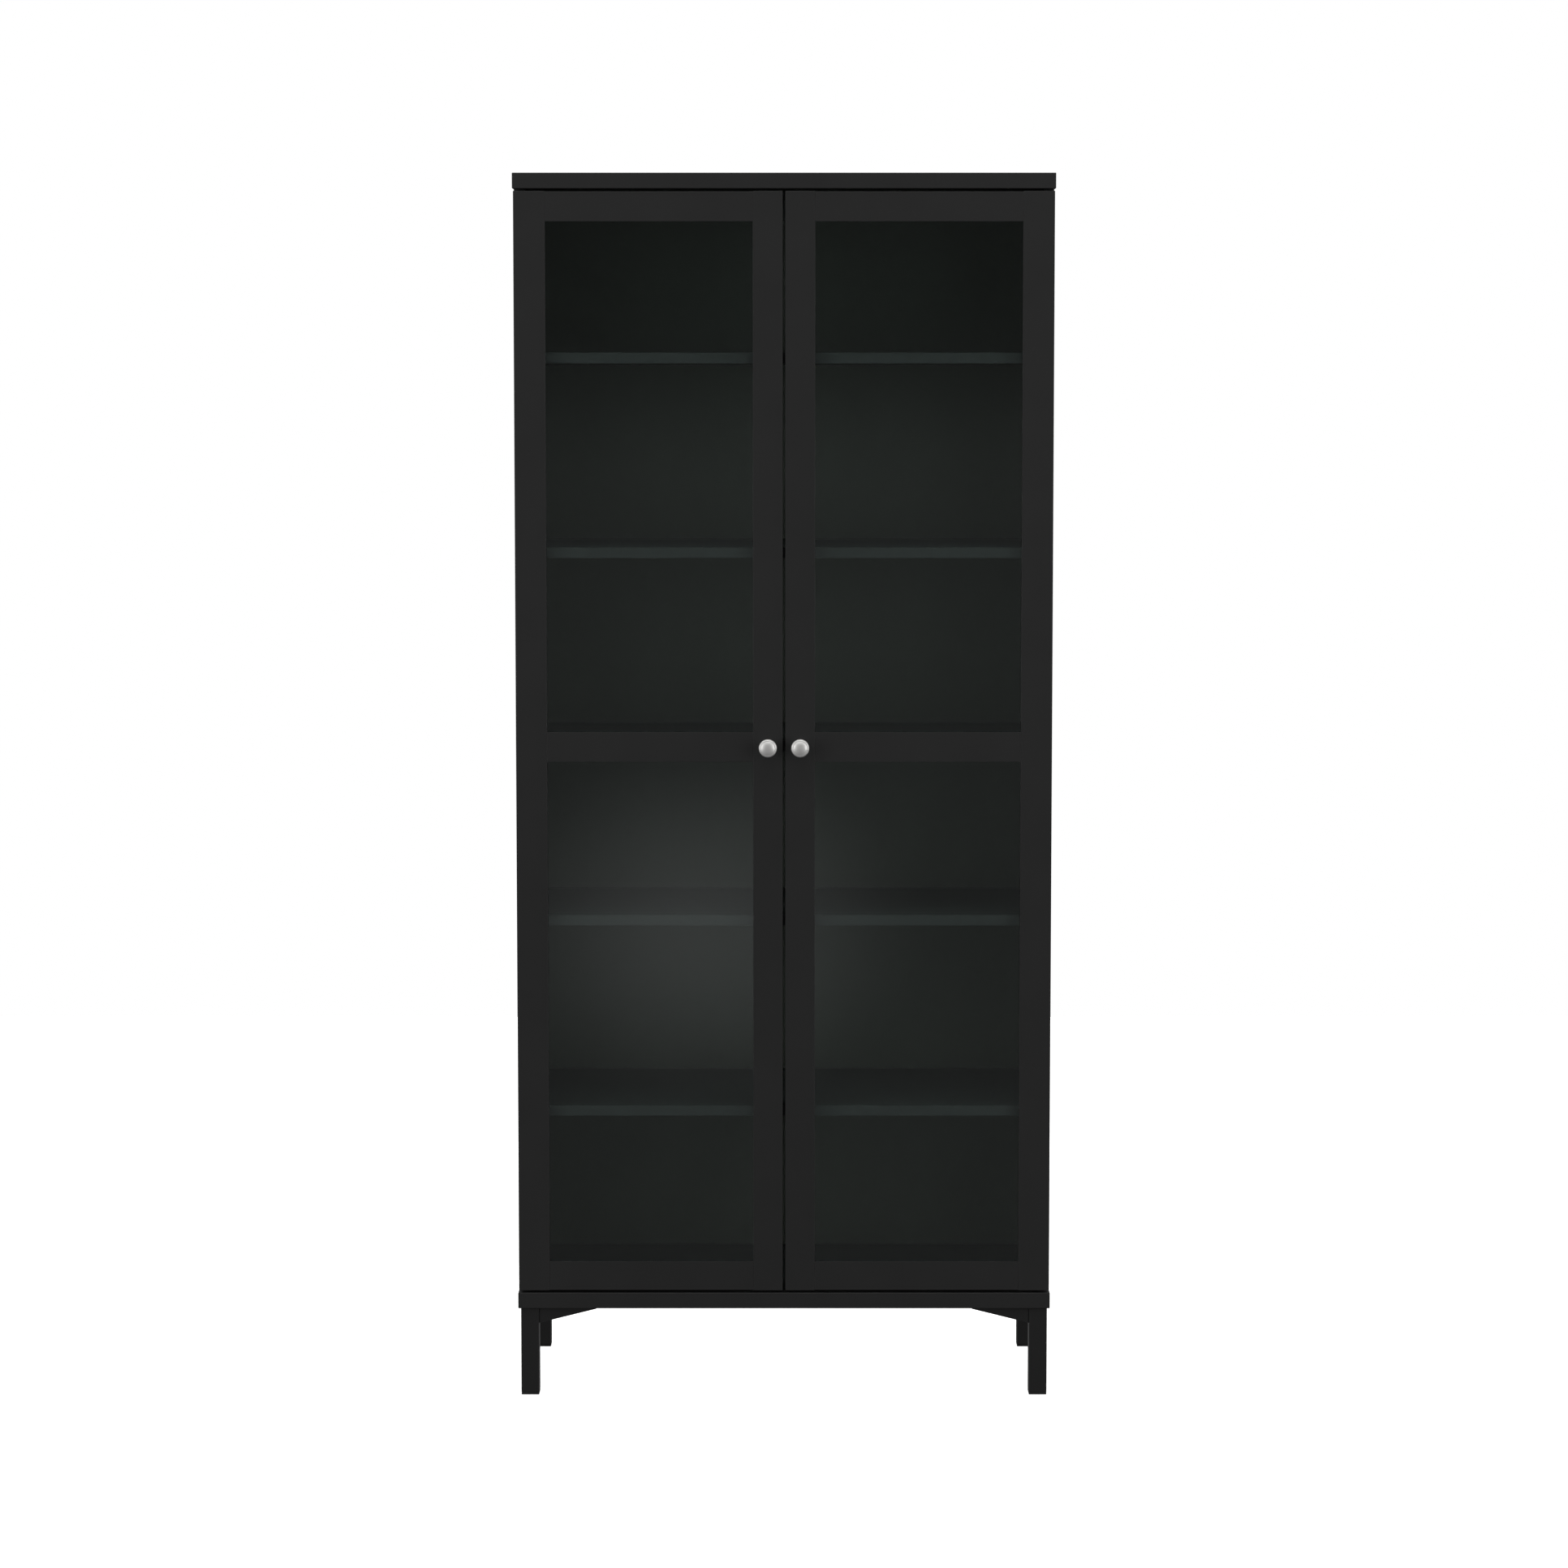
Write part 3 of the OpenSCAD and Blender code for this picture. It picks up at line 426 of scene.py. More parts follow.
def pressed_foil(colours, name):
    """Printed foil on particle board or hardboard: duller than lacquer, with a fine pressed pore."""
    material, shader = new_material(name)
    base = colours.back_foil if name == "back_foil" else colours.foil
    tree = material.node_tree
    set_shader(shader, IOR=LACQUER_IOR)
    place = add(tree, "ShaderNodeTexCoord")
    # pores about 0.8 mm wide and 6 mm long across the cabinet, so round on the side panels
    stretch = add(tree, "ShaderNodeMapping",
                  inputs={"Scale": (1 / (6 * MM), 1 / (0.8 * MM), 1 / (0.8 * MM))},
                  links={"Vector": place.outputs["Object"]})
    pores = add(tree, "ShaderNodeTexNoise", inputs={"Scale": 1.0, "Detail": 2.0},
                links={"Vector": stretch.outputs["Vector"]})
    bump = add(tree, "ShaderNodeBump", inputs={"Strength": 0.15, "Distance": 0.05 * MM},
               links={"Height": pores.outputs["Fac"]})
    tree.links.new(bump.outputs["Normal"], shader.inputs["Normal"])
    two_tone(tree, shader, base, pores.outputs["Fac"], 0.06)
    sheen = add(tree, "ShaderNodeMapRange", inputs={"To Min": 0.46, "To Max": 0.56},
                links={"Value": pores.outputs["Fac"]})
    tree.links.new(sheen.outputs["Result"], shader.inputs["Roughness"])
    return material


def bare_hardboard(colours):
    """The unpainted rear of pressed hardboard: brown and matt, with fibres and the press screen's mark."""
    material, shader = new_material("bare_hardboard")
    tree = material.node_tree
    set_shader(shader, IOR=WOOD_IOR)
    place = add(tree, "ShaderNodeTexCoord")
    # fibres about 3 mm long
    fibres = add(tree, "ShaderNodeTexNoise",
                 inputs={"Scale": 1 / (3 * MM), "Detail": 6.0, "Roughness": 0.7},
                 links={"Vector": place.outputs["Object"]})
    two_tone(tree, shader, colours.hardboard, fibres.outputs["Fac"], 0.18)
    # the press screen's mesh, 2.5 mm, drawn coarser than the real 1 mm so that it shows
    screen = add(tree, "ShaderNodeTexVoronoi", {"distance": "CHEBYCHEV"},
                 {"Scale": 1 / (2.5 * MM), "Randomness": 0.15}, {"Vector": place.outputs["Object"]})
    bump = add(tree, "ShaderNodeBump", inputs={"Strength": 0.35, "Distance": 0.15 * MM},
               links={"Height": screen.outputs["Distance"]})
    tree.links.new(bump.outputs["Normal"], shader.inputs["Normal"])
    matt = add(tree, "ShaderNodeMapRange", inputs={"To Min": 0.7, "To Max": 0.88},
               links={"Value": fibres.outputs["Fac"]})
    tree.links.new(matt.outputs["Result"], shader.inputs["Roughness"])
    return material


def float_glass(colours):
    """Clear float glass, 4 mm: sharp reflections and a faint green cast."""
    material, shader = new_material("float_glass")
    tree = material.node_tree
    set_shader(shader, Roughness=0.0, IOR=GLASS_IOR, Transmission_Weight=1.0)
    place = add(tree, "ShaderNodeTexCoord")
    # the float process leaves the surface waved over about 120 mm
    wave = add(tree, "ShaderNodeTexNoise", inputs={"Scale": 1 / (120 * MM), "Detail": 0.0},
               links={"Vector": place.outputs["Object"]})
    two_tone(tree, shader, colours.glass, wave.outputs["Fac"], 0.01)
    # lamps shine straight through a flat pane, so what stands behind it is lit
    rays = add(tree, "ShaderNodeLightPath")
    clear = add(tree, "ShaderNodeBsdfTransparent", inputs={"Color": (*colours.glass, 1)})
    pane = add(tree, "ShaderNodeMixShader", links={"Fac": rays.outputs["Is Shadow Ray"]})
    tree.links.new(shader.outputs["BSDF"], pane.inputs[1])
    tree.links.new(clear.outputs["BSDF"], pane.inputs[2])
    tree.links.new(pane.outputs["Shader"], tree.nodes["Material Output"].inputs["Surface"])
    return material


def satin_nickel(colours, centre):
    """Nickel-plated brass turned on a lathe: satin, with fine rings round each knob's axis."""
    material, shader = new_material("satin_nickel")
    tree = material.node_tree
    set_shader(shader, Metallic=1.0)
    place = add(tree, "ShaderNodeTexCoord")
    # the left half mirrors the right one, so one centre serves both knobs
    folded = add(tree, "ShaderNodeVectorMath", {"operation": "ABSOLUTE"}, links={0: place.outputs["Object"]})
    centred = add(tree, "ShaderNodeMapping", inputs={"Location": (-centre.x, -abs(centre.y), -centre.z)},
                  links={"Vector": folded.outputs["Vector"]})
    # tool marks drawn 2.2 mm apart, far coarser than the real ones, so that they show
    rings = add(tree, "ShaderNodeTexWave",
                {"wave_type": "RINGS", "rings_direction": "Y"},
                {"Scale": WAVE_LENGTH / (2.2 * MM), "Distortion": 0.4, "Detail": 1.0, "Detail Scale": 4.0},
                {"Vector": centred.outputs["Vector"]})
    bump = add(tree, "ShaderNodeBump", inputs={"Strength": 0.12, "Distance": 0.03 * MM},
               links={"Height": rings.outputs["Fac"]})
    tree.links.new(bump.outputs["Normal"], shader.inputs["Normal"])
    two_tone(tree, shader, colours.nickel, rings.outputs["Fac"], 0.03)
    rough = add(tree, "ShaderNodeMapRange", inputs={"To Min": 0.46, "To Max": 0.54},
                links={"Value": rings.outputs["Fac"]})
    tree.links.new(rough.outputs["Result"], shader.inputs["Roughness"])
    return material


def zinc_plate(colours):
    """Bright zinc plate on stamped steel: silvery, with faint clouds about 4 mm across."""
    material, shader = new_material("zinc_plate")
    tree = material.node_tree
    set_shader(shader, Metallic=1.0)
    place = add(tree, "ShaderNodeTexCoord")
    cloud = add(tree, "ShaderNodeTexNoise", inputs={"Scale": 1 / (4 * MM), "Detail": 4.0},
                links={"Vector": place.outputs["Object"]})
    two_tone(tree, shader, colours.zinc, cloud.outputs["Fac"], 0.06)
    rough = add(tree, "ShaderNodeMapRange", inputs={"To Min": 0.26, "To Max": 0.42},
                links={"Value": cloud.outputs["Fac"]})
    tree.links.new(rough.outputs["Result"], shader.inputs["Roughness"])
    return material


def moulded_plastic(colours):
    """Moulded polypropylene with a spark-eroded grain of about 0.4 mm."""
    material, shader = new_material("moulded_plastic")
    tree = material.node_tree
    set_shader(shader, Roughness=0.55, IOR=PLASTIC_IOR)
    place = add(tree, "ShaderNodeTexCoord")
    grain = add(tree, "ShaderNodeTexNoise", inputs={"Scale": 1 / (0.4 * MM), "Detail": 2.0},
                links={"Vector": place.outputs["Object"]})
    bump = add(tree, "ShaderNodeBump", inputs={"Strength": 0.3, "Distance": 0.05 * MM},
               links={"Height": grain.outputs["Fac"]})
    tree.links.new(bump.outputs["Normal"], shader.inputs["Normal"])
    two_tone(tree, shader, colours.plastic, grain.outputs["Fac"], 0.08)
    return material


def clear_polyurethane(colours):
    """Soft cast polyurethane: a milky clear dome."""
    material, shader = new_material("clear_polyurethane")
    tree = material.node_tree
    set_shader(shader, Roughness=0.25, IOR=PLASTIC_IOR, Transmission_Weight=0.7)
    place = add(tree, "ShaderNodeTexCoord")
    haze = add(tree, "ShaderNodeTexNoise", inputs={"Scale": 1 / (1 * MM)},
               links={"Vector": place.outputs["Object"]})
    two_tone(tree, shader, colours.bumper, haze.outputs["Fac"], 0.03)
    return material


def bare_birch(colours):
    """Turned birch dowel with a fine grain about 0.7 mm wide."""
    material, shader = new_material("bare_birch")
    tree = material.node_tree
    set_shader(shader, Roughness=0.6, IOR=WOOD_IOR)
    place = add(tree, "ShaderNodeTexCoord")
    grain = add(tree, "ShaderNodeTexNoise", inputs={"Scale": 1 / (0.7 * MM), "Detail": 3.0},
                links={"Vector": place.outputs["Object"]})
    two_tone(tree, shader, colours.birch, grain.outputs["Fac"], 0.1)
    return material


def finish(name, make, *details):
    """The material of that name, made once."""
    return bpy.data.materials.get(name) or make(bpy.context.scene.cabinet_colours, *details)


def lacquer():
    return finish("satin_black_lacquer", satin_black_lacquer, "satin_black_lacquer")


# The same satin lacquer with a darker base colour: painted shade on the legs and gussets
def painted_shade_leg_lacquer():
    return finish("painted_shade_leg_lacquer", satin_black_lacquer, "painted_shade_leg_lacquer")


def foil():
    return finish("black_foil", pressed_foil, "black_foil")


# Pieces


class CABINET_OT_plates(bpy.types.Operator):
    """Make the top and bottom panels."""

    bl_idname = "cabinet.plates"
    bl_label = "Top and Bottom Panels"

    def execute(self, context):
        sizes = context.scene.cabinet_sizes
        for node in ("top_panel", "bottom_panel"):
            panel = round_edges(block(f"{node}_board", *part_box(node)), sizes.panel_arris, 3)
            deliver(panel, "root", node, "black_lacquer", lacquer())
        return {"FINISHED"}


class CABINET_OT_side_panels(bpy.types.Operator):
    """Make the side panels, with their pin holes and cam holes."""

    bl_idname = "cabinet.side_panels"
    bl_label = "Side Panels"

    def execute(self, context):
        sizes = context.scene.cabinet_sizes
        low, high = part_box("right_side_panel")
        panel = round_edges(block("right_side_panel_board", low, high), sizes.board_arris, 2)
        pin_places = []
        for shelf in SHELVES:
            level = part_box(shelf)[0].z - sizes.pin_hole / 2
            for step in range(-sizes.pin_spares, sizes.pin_spares + 1):
                for y in (low.y + sizes.pin_column, high.y - sizes.pin_column):
                    pin_places.append((low.x, y, level + step * sizes.pin_pitch))
        cam_places = [(low.x, y, z) for z in (low.z + sizes.cam_end, high.z - sizes.cam_end)
                      for y in (low.y + sizes.cam_inset, high.y - sizes.cam_inset)]
        cut(panel, bores(pin_places, (1, 0, 0), sizes.pin_hole, sizes.pin_depth, PIN_HOLE_SIDES)
            + bores(cam_places, (1, 0, 0), sizes.cam_hole, sizes.cam_depth))
        smooth(panel, SMOOTH_BORED)
        for side, piece in pair(panel, "side_panel_board").items():
            deliver(piece, "root", f"{side}_side_panel", "black_lacquer", foil(), lacquer())
            second_finish(piece, Vector((SIDES[side], 0, 0)), OUTER_SHARE)
        return {"FINISHED"}


class CABINET_OT_shelves(bpy.types.Operator):
    """Make the fixed shelf and the adjustable shelves."""

    bl_idname = "cabinet.shelves"
    bl_label = "Shelves"

    def execute(self, context):
        sizes = context.scene.cabinet_sizes
        low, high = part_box("fixed_shelf")
        fixed = round_edges(block("fixed_shelf_board", low, high), sizes.board_arris, 3)
        places = [(x, y, low.z) for x in (low.x + sizes.cam_end, high.x - sizes.cam_end)
                  for y in (low.y + sizes.cam_inset, high.y - sizes.cam_inset)]
        cut(fixed, bores(places, (0, 0, 1), sizes.cam_hole, sizes.cam_depth))
        deliver(fixed, "root", "fixed_shelf", "black_lacquer", foil())
        low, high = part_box(SHELVES[0])
        first = round_edges(block(f"{SHELVES[0]}_board", low, high), sizes.board_arris, 3)
        boards = [first] + [copied(first, f"{node}_board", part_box(node)[0] - low) for node in SHELVES[1:]]
        for node, board in zip(SHELVES, boards):
            deliver(board, "root", node, "black_lacquer", foil())
        return {"FINISHED"}


class CABINET_OT_back_panels(bpy.types.Operator):
    """Make the two thin back panels and the rail above them that is fixed to the wall."""

    bl_idname = "cabinet.back_panels"
    bl_label = "Back Panels and Wall Rail"

    def execute(self, context):
        sizes = context.scene.cabinet_sizes
        for node in ("upper_back_panel", "lower_back_panel"):
            panel = round_edges(block(f"{node}_sheet", *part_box(node)), sizes.seam_arris, 2)
            front = finish("back_foil", pressed_foil, "back_foil")
            rear = finish("bare_hardboard", bare_hardboard)
            deliver(panel, "root", node, "black_hardboard", front, rear)
            second_finish(panel, Vector((0, 1, 0)), REAR_SHARE)
        low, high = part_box("wall_rail")
        rail = round_edges(block("wall_rail_board", low, high), sizes.seam_arris, 2)
        places = [(sign * sizes.anchor_place, high.y, high.z - sizes.anchor_drop)
                  for sign in SIDES.values()]
        cut(rail, bores(places, (0, 1, 0), sizes.anchor_hole, 2 * (high.y - low.y)))
        smooth(rail, SMOOTH_BORED)
        deliver(rail, "root", "wall_rail", "black_lacquer", foil())
        return {"FINISHED"}


class CABINET_OT_legs(bpy.types.Operator):
    """Make the legs and their foot caps."""

    bl_idname = "cabinet.legs"
    bl_label = "Legs"

    def execute(self, context):
        sizes = context.scene.cabinet_sizes
        nodes = [f"{end}_{side}_leg" for end in ("front", "rear") for side in SIDES]
        low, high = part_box(nodes[0])
        leg = round_edges(block(f"{nodes[0]}_post", low, high), sizes.leg_arris, 3)
        cap = round_edges(block("cap", (low.x, low.y, 0), (high.x, high.y, low.z)), sizes.leg_arris, 3)
        moves = [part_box(node)[0] - low for node in nodes]
        legs = [leg] + [copied(leg, f"{node}_post", move) for node, move in zip(nodes[1:], moves[1:])]
        caps = [cap] + [copied(cap, "cap", move) for move in moves[1:]]
        for node, post in zip(nodes, legs):
            # painted shade: the legs take the darkened copy of the lacquer
            deliver(post, "root", node, "black_lacquer", painted_shade_leg_lacquer())
        feet = deliver(join(caps, "foot_caps_moulded"), "root", "foot_caps", "black_plastic",
                       finish("moulded_plastic", moulded_plastic))
        smooth(feet, SMOOTH_TURNED)
        return {"FINISHED"}


class CABINET_OT_gussets(bpy.types.Operator):
    """Make the tapered gussets beside the legs."""

    bl_idname = "cabinet.gussets"
    bl_label = "Gussets"

    def execute(self, context):
        sizes = context.scene.cabinet_sizes
        front, rear, side = (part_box(f"{place}_gussets") for place in ("front", "rear", "side"))
        first = self.wedge(sizes, *front)
        low, high = front
        quarter = math.pi / 2
        turned = [
            copied(first, "wedge", (side[0].x + high.y, side[0].y - low.x, 0), quarter),
            copied(first, "wedge", (side[0].x - low.y, side[1].y + low.x, 0), -quarter),
        ]
        groups = {
            "front_gussets": [first],
            "rear_gussets": [copied(first, "wedge", rear[0] - low)],
            "side_gussets": turned,
        }
        for node, wedges in groups.items():
            wedges += [copied(wedge, "wedge", flip=MIRROR) for wedge in wedges]
            # painted shade: the gussets take the darkened copy of the lacquer
            deliver(join(wedges, f"{node}_wedges"), "root", node, "black_lacquer", painted_shade_leg_lacquer())
        return {"FINISHED"}

    def wedge(self, sizes, low, high):
        """The gusset beside the front left leg, full height at the leg and thin at its tip."""
        tip = low.x + sizes.gusset_length
        piece = block("wedge", low, (tip, high.y, high.z))
        middle = (low.z + high.z) / 2
        choose_edges(piece, lambda point: abs(point.x - tip) < EXACT and point.z < middle)
        bpy.ops.transform.translate(value=(0, 0, high.z - low.z - sizes.gusset_tip))
        bpy.ops.object.mode_set(mode="OBJECT")
        return round_edges(piece, sizes.leg_arris / 2, 2, lambda point: True)


def opening(level):
    """(x low, x high, z low, z high) of the right door's upper or lower opening."""
    left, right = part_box("right_meeting_stile")[1].x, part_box("right_hinge_stile")[0].x
    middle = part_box("right_middle_rail")
    if level == "upper":
        return left, right, middle[1].z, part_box("right_top_rail")[0].z
    return left, right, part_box("right_bottom_rail")[1].z, middle[0].z


def rebate_cutters(sizes):
    """Blocks as large as the rebates behind the right door's two openings."""
    low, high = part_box("right_hinge_stile")
    w = sizes.rebate
    cutters = []
    for level in LEVELS:
        x0, x1, z0, z1 = opening(level)
        cutters.append(
            block("rebate", (x0 - w, low.y + sizes.lip, z0 - w), (x1 + w, high.y + w, z1 + w)))
    return cutters


class CABINET_OT_door_frames(bpy.types.Operator):
    """Make the stiles and rails of both doors."""

    bl_idname = "cabinet.door_frames"
    bl_label = "Door Frames"

    def execute(self, context):
        sizes = context.scene.cabinet_sizes
        hinge = self.stile("hinge_stile", sizes)
        meeting = self.stile("meeting_stile", sizes)
        middle = self.rail("middle_rail", sizes)
        bottom = self.rail("bottom_rail", sizes)
        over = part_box("right_bottom_rail")[0].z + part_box("right_top_rail")[1].z
        top = copied(bottom, "right_top_rail_bar", (0, 0, over), flip=UPEND)
        members = {"hinge_stile": hinge, "meeting_stile": meeting, "middle_rail": middle,
                   "bottom_rail": bottom, "top_rail": top}
        for part, member in members.items():
            for side, piece in pair(member, f"{part}_bar").items():
                deliver(piece, f"{side}_door", f"{side}_{part}", "black_lacquer", lacquer())
        return {"FINISHED"}

    def rail(self, part, sizes):
        """A rail of the right door, with a fine seam at each end and its rebates."""
        low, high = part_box(f"right_{part}")
        member = round_edges(block(f"right_{part}_bar", low, high), sizes.seam_arris, 2)
        return cut(member, rebate_cutters(sizes))

    def stile(self, part, sizes):
        """A stile of the right door, with its rebates, and its cup holes or its knob screw's recess."""
        low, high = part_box(f"right_{part}")
        member = block(f"right_{part}_bar", low, high)
        if part == "hinge_stile":
            round_edges(member, sizes.door_round, 5,
                        lambda point: abs(point.x - high.x) < EXACT and abs(point.y - high.y) < EXACT)
            cup_low, cup_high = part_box("right_hinge_cups")
            levels = (low.z + sizes.hinge_end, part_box("fixed_shelf")[0].z - sizes.hinge_drop,
                      high.z - sizes.hinge_end)
            places = [((cup_low.x + cup_high.x) / 2, high.y, z) for z in levels]
            holes = (places, (0, 1, 0), sizes.cup_hole, sizes.cup_depth, CUP_HOLE_SIDES)
        else:
            knob_low, knob_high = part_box("right_knob")
            centre = (knob_low + knob_high) / 2
            places = [(centre.x, high.y, centre.z)]
            holes = (places, (0, 1, 0), sizes.knob_recess, sizes.knob_recess_depth)
        round_edges(member, sizes.frame_arris, 3)
        cut(member, rebate_cutters(sizes))
        return cut(member, bores(*holes))


class CABINET_OT_panes(bpy.types.Operator):
    """Make the four panes, with ground edges."""

    bl_idname = "cabinet.panes"
    bl_label = "Panes"

    def execute(self, context):
        sizes = context.scene.cabinet_sizes
        low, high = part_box("right_lower_glass")
        lower = block("right_lower_glass_pane", low, high)
        round_edges(lower, sizes.pane_arris, 1, lambda point: True)
        upper = copied(lower, "right_upper_glass_pane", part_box("right_upper_glass")[0] - low)
        for level, pane in zip(LEVELS, (lower, upper)):
            for side, piece in pair(pane, f"{level}_glass_pane").items():
                deliver(piece, f"{side}_door", f"{side}_{level}_glass", "clear_glass",
                        finish("float_glass", float_glass))
        return {"FINISHED"}


class CABINET_OT_glazing_beads(bpy.types.Operator):
    """Make the chamfered beads that hold the panes from behind."""

    bl_idname = "cabinet.glazing_beads"
    bl_label = "Glazing Beads"

    def execute(self, context):
        sizes = context.scene.cabinet_sizes
        front, rear = (corner.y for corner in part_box("right_glass_beads"))
        x0, x1, z0, z1 = opening("lower")
        gap, w = sizes.bead_setback, sizes.rebate
        upright = self.strip((x0 - w, front, z0 - w), (x0 - gap, rear, z1 + w), 0, sizes)
        level = self.strip((x0 - gap, front, z0 - w), (x1 + gap, rear, z0 - gap), 2, sizes)
        strips = [upright, copied(upright, "strip", (x0 + x1, 0, 0), flip=MIRROR),
                  level, copied(level, "strip", (0, 0, z0 + z1), flip=UPEND)]
        rise = opening("upper")[2] - z0
        strips += [copied(strip, "strip", (0, 0, rise)) for strip in strips]
        beads = join(strips, "right_glass_beads_strips")
        for side, piece in pair(beads, "glass_beads_strips").items():
            deliver(piece, f"{side}_door", f"{side}_glass_beads", "black_lacquer", lacquer())
        return {"FINISHED"}

    def strip(self, low, high, axis, sizes):
        """One bead, chamfered along its rear edge towards the opening, which is its high one on the axis."""
        inner, rear = high[axis], high[1]
        piece = block("strip", low, high)
        round_edges(piece, sizes.bead_chamfer, 1,
                    lambda point: abs(point[axis] - inner) < EXACT and abs(point.y - rear) < EXACT)
        return round_edges(piece, sizes.seam_arris, 2)


class CABINET_OT_knobs(bpy.types.Operator):
    """Make the two turned knobs."""

    bl_idname = "cabinet.knobs"
    bl_label = "Knobs"

    # The turned outline, as (share of the radius, share of the reach): foot, neck, head and domed face,
    # with a fine groove between the face's rim and its middle
    outline = (
        (0.59, 0.055), (0.565, 0.08), (0.46, 0.12), (0.41, 0.2), (0.41, 0.33), (0.46, 0.45), (0.6, 0.55),
        (0.8, 0.63), (0.93, 0.69), (0.985, 0.74), (1.0, 0.78), (1.0, 0.82), (0.993, 0.842), (0.972, 0.864),
        (0.93, 0.886), (0.87, 0.906), (0.81, 0.92), (0.79, 0.918), (0.77, 0.918), (0.75, 0.925), (0.7, 0.937),
        (0.6, 0.9565), (0.5, 0.971), (0.4, 0.982), (0.3, 0.99), (0.2, 0.9955), (0.1, 0.999), (0.03, 1.0),
    )

    def execute(self, context):
        low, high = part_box("right_knob")
        centre = (low + high) / 2
        foot = Vector((centre.x, high.y, centre.z))
        knob = self.turn("right_knob_turned", foot, (high.x - low.x) / 2, high.y - low.y)
        for side, piece in pair(knob, "knob_turned").items():
            deliver(piece, f"{side}_door", f"{side}_knob", "brushed_nickel",
                    finish("satin_nickel", satin_nickel, foot))
        return {"FINISHED"}

    def turn(self, name, foot, radius, reach):
        """A knob extruded ring by ring from its foot towards the front."""
        deselect()
        share, depth = self.outline[0][0], 0.0
        bpy.ops.mesh.primitive_circle_add(
            vertices=KNOB_SIDES, radius=radius * share, fill_type="NGON", location=foot,
            rotation=(math.pi / 2, 0, 0)
        )
        knob = settle(bpy.context.active_object, name)
        bpy.ops.object.mode_set(mode="EDIT")
        bpy.ops.mesh.select_mode(type="FACE")
        bpy.ops.mesh.select_all(action="SELECT")
        for next_share, next_depth in self.outline:
            move = (0, -(next_depth - depth) * reach, 0)
            bpy.ops.mesh.extrude_region_move(TRANSFORM_OT_translate={"value": move})
            grow = next_share / share
            if next_share != share:
                bpy.ops.transform.resize(value=(grow, 1, grow), center_override=foot)
            share, depth = next_share, next_depth
        bpy.ops.object.mode_set(mode="OBJECT")
        outward(knob)
        smooth(knob, SMOOTH_TURNED)
        return knob


class CABINET_OT_fittings(bpy.types.Operator):
    """Give the fittings and fasteners, which keep their CAD shapes, their materials."""

    bl_idname = "cabinet.fittings"
    bl_label = "Fittings"

    steel = (
        "shelf_pins", "cam_discs", "cam_bolts", "back_panel_screws",
        "leg_bolts", "gusset_screws", "hinge_plates", "hinge_arms", "hinge_plate_screws",
        "left_hinge_links", "right_hinge_links", "left_hinge_cups", "right_hinge_cups",
        "left_door_screws", "right_door_screws",
    )

    def execute(self, context):
        zinc = finish("zinc_plate", zinc_plate)
        birch = finish("bare_birch", bare_birch)
        soft = finish("clear_polyurethane", clear_polyurethane)
        for node in self.steel:
            self.paint(node, zinc)
        for node in ("carcass_dowels", "left_frame_dowels", "right_frame_dowels"):
            self.paint(node, birch)
        for node in ("left_bumper", "right_bumper"):
            self.paint(node, soft)
        return {"FINISHED"}

    def paint(self, node, material):
        """Gives a CAD node its material."""
        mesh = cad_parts[node].data
        mesh.materials.clear()
        mesh.materials.append(material)


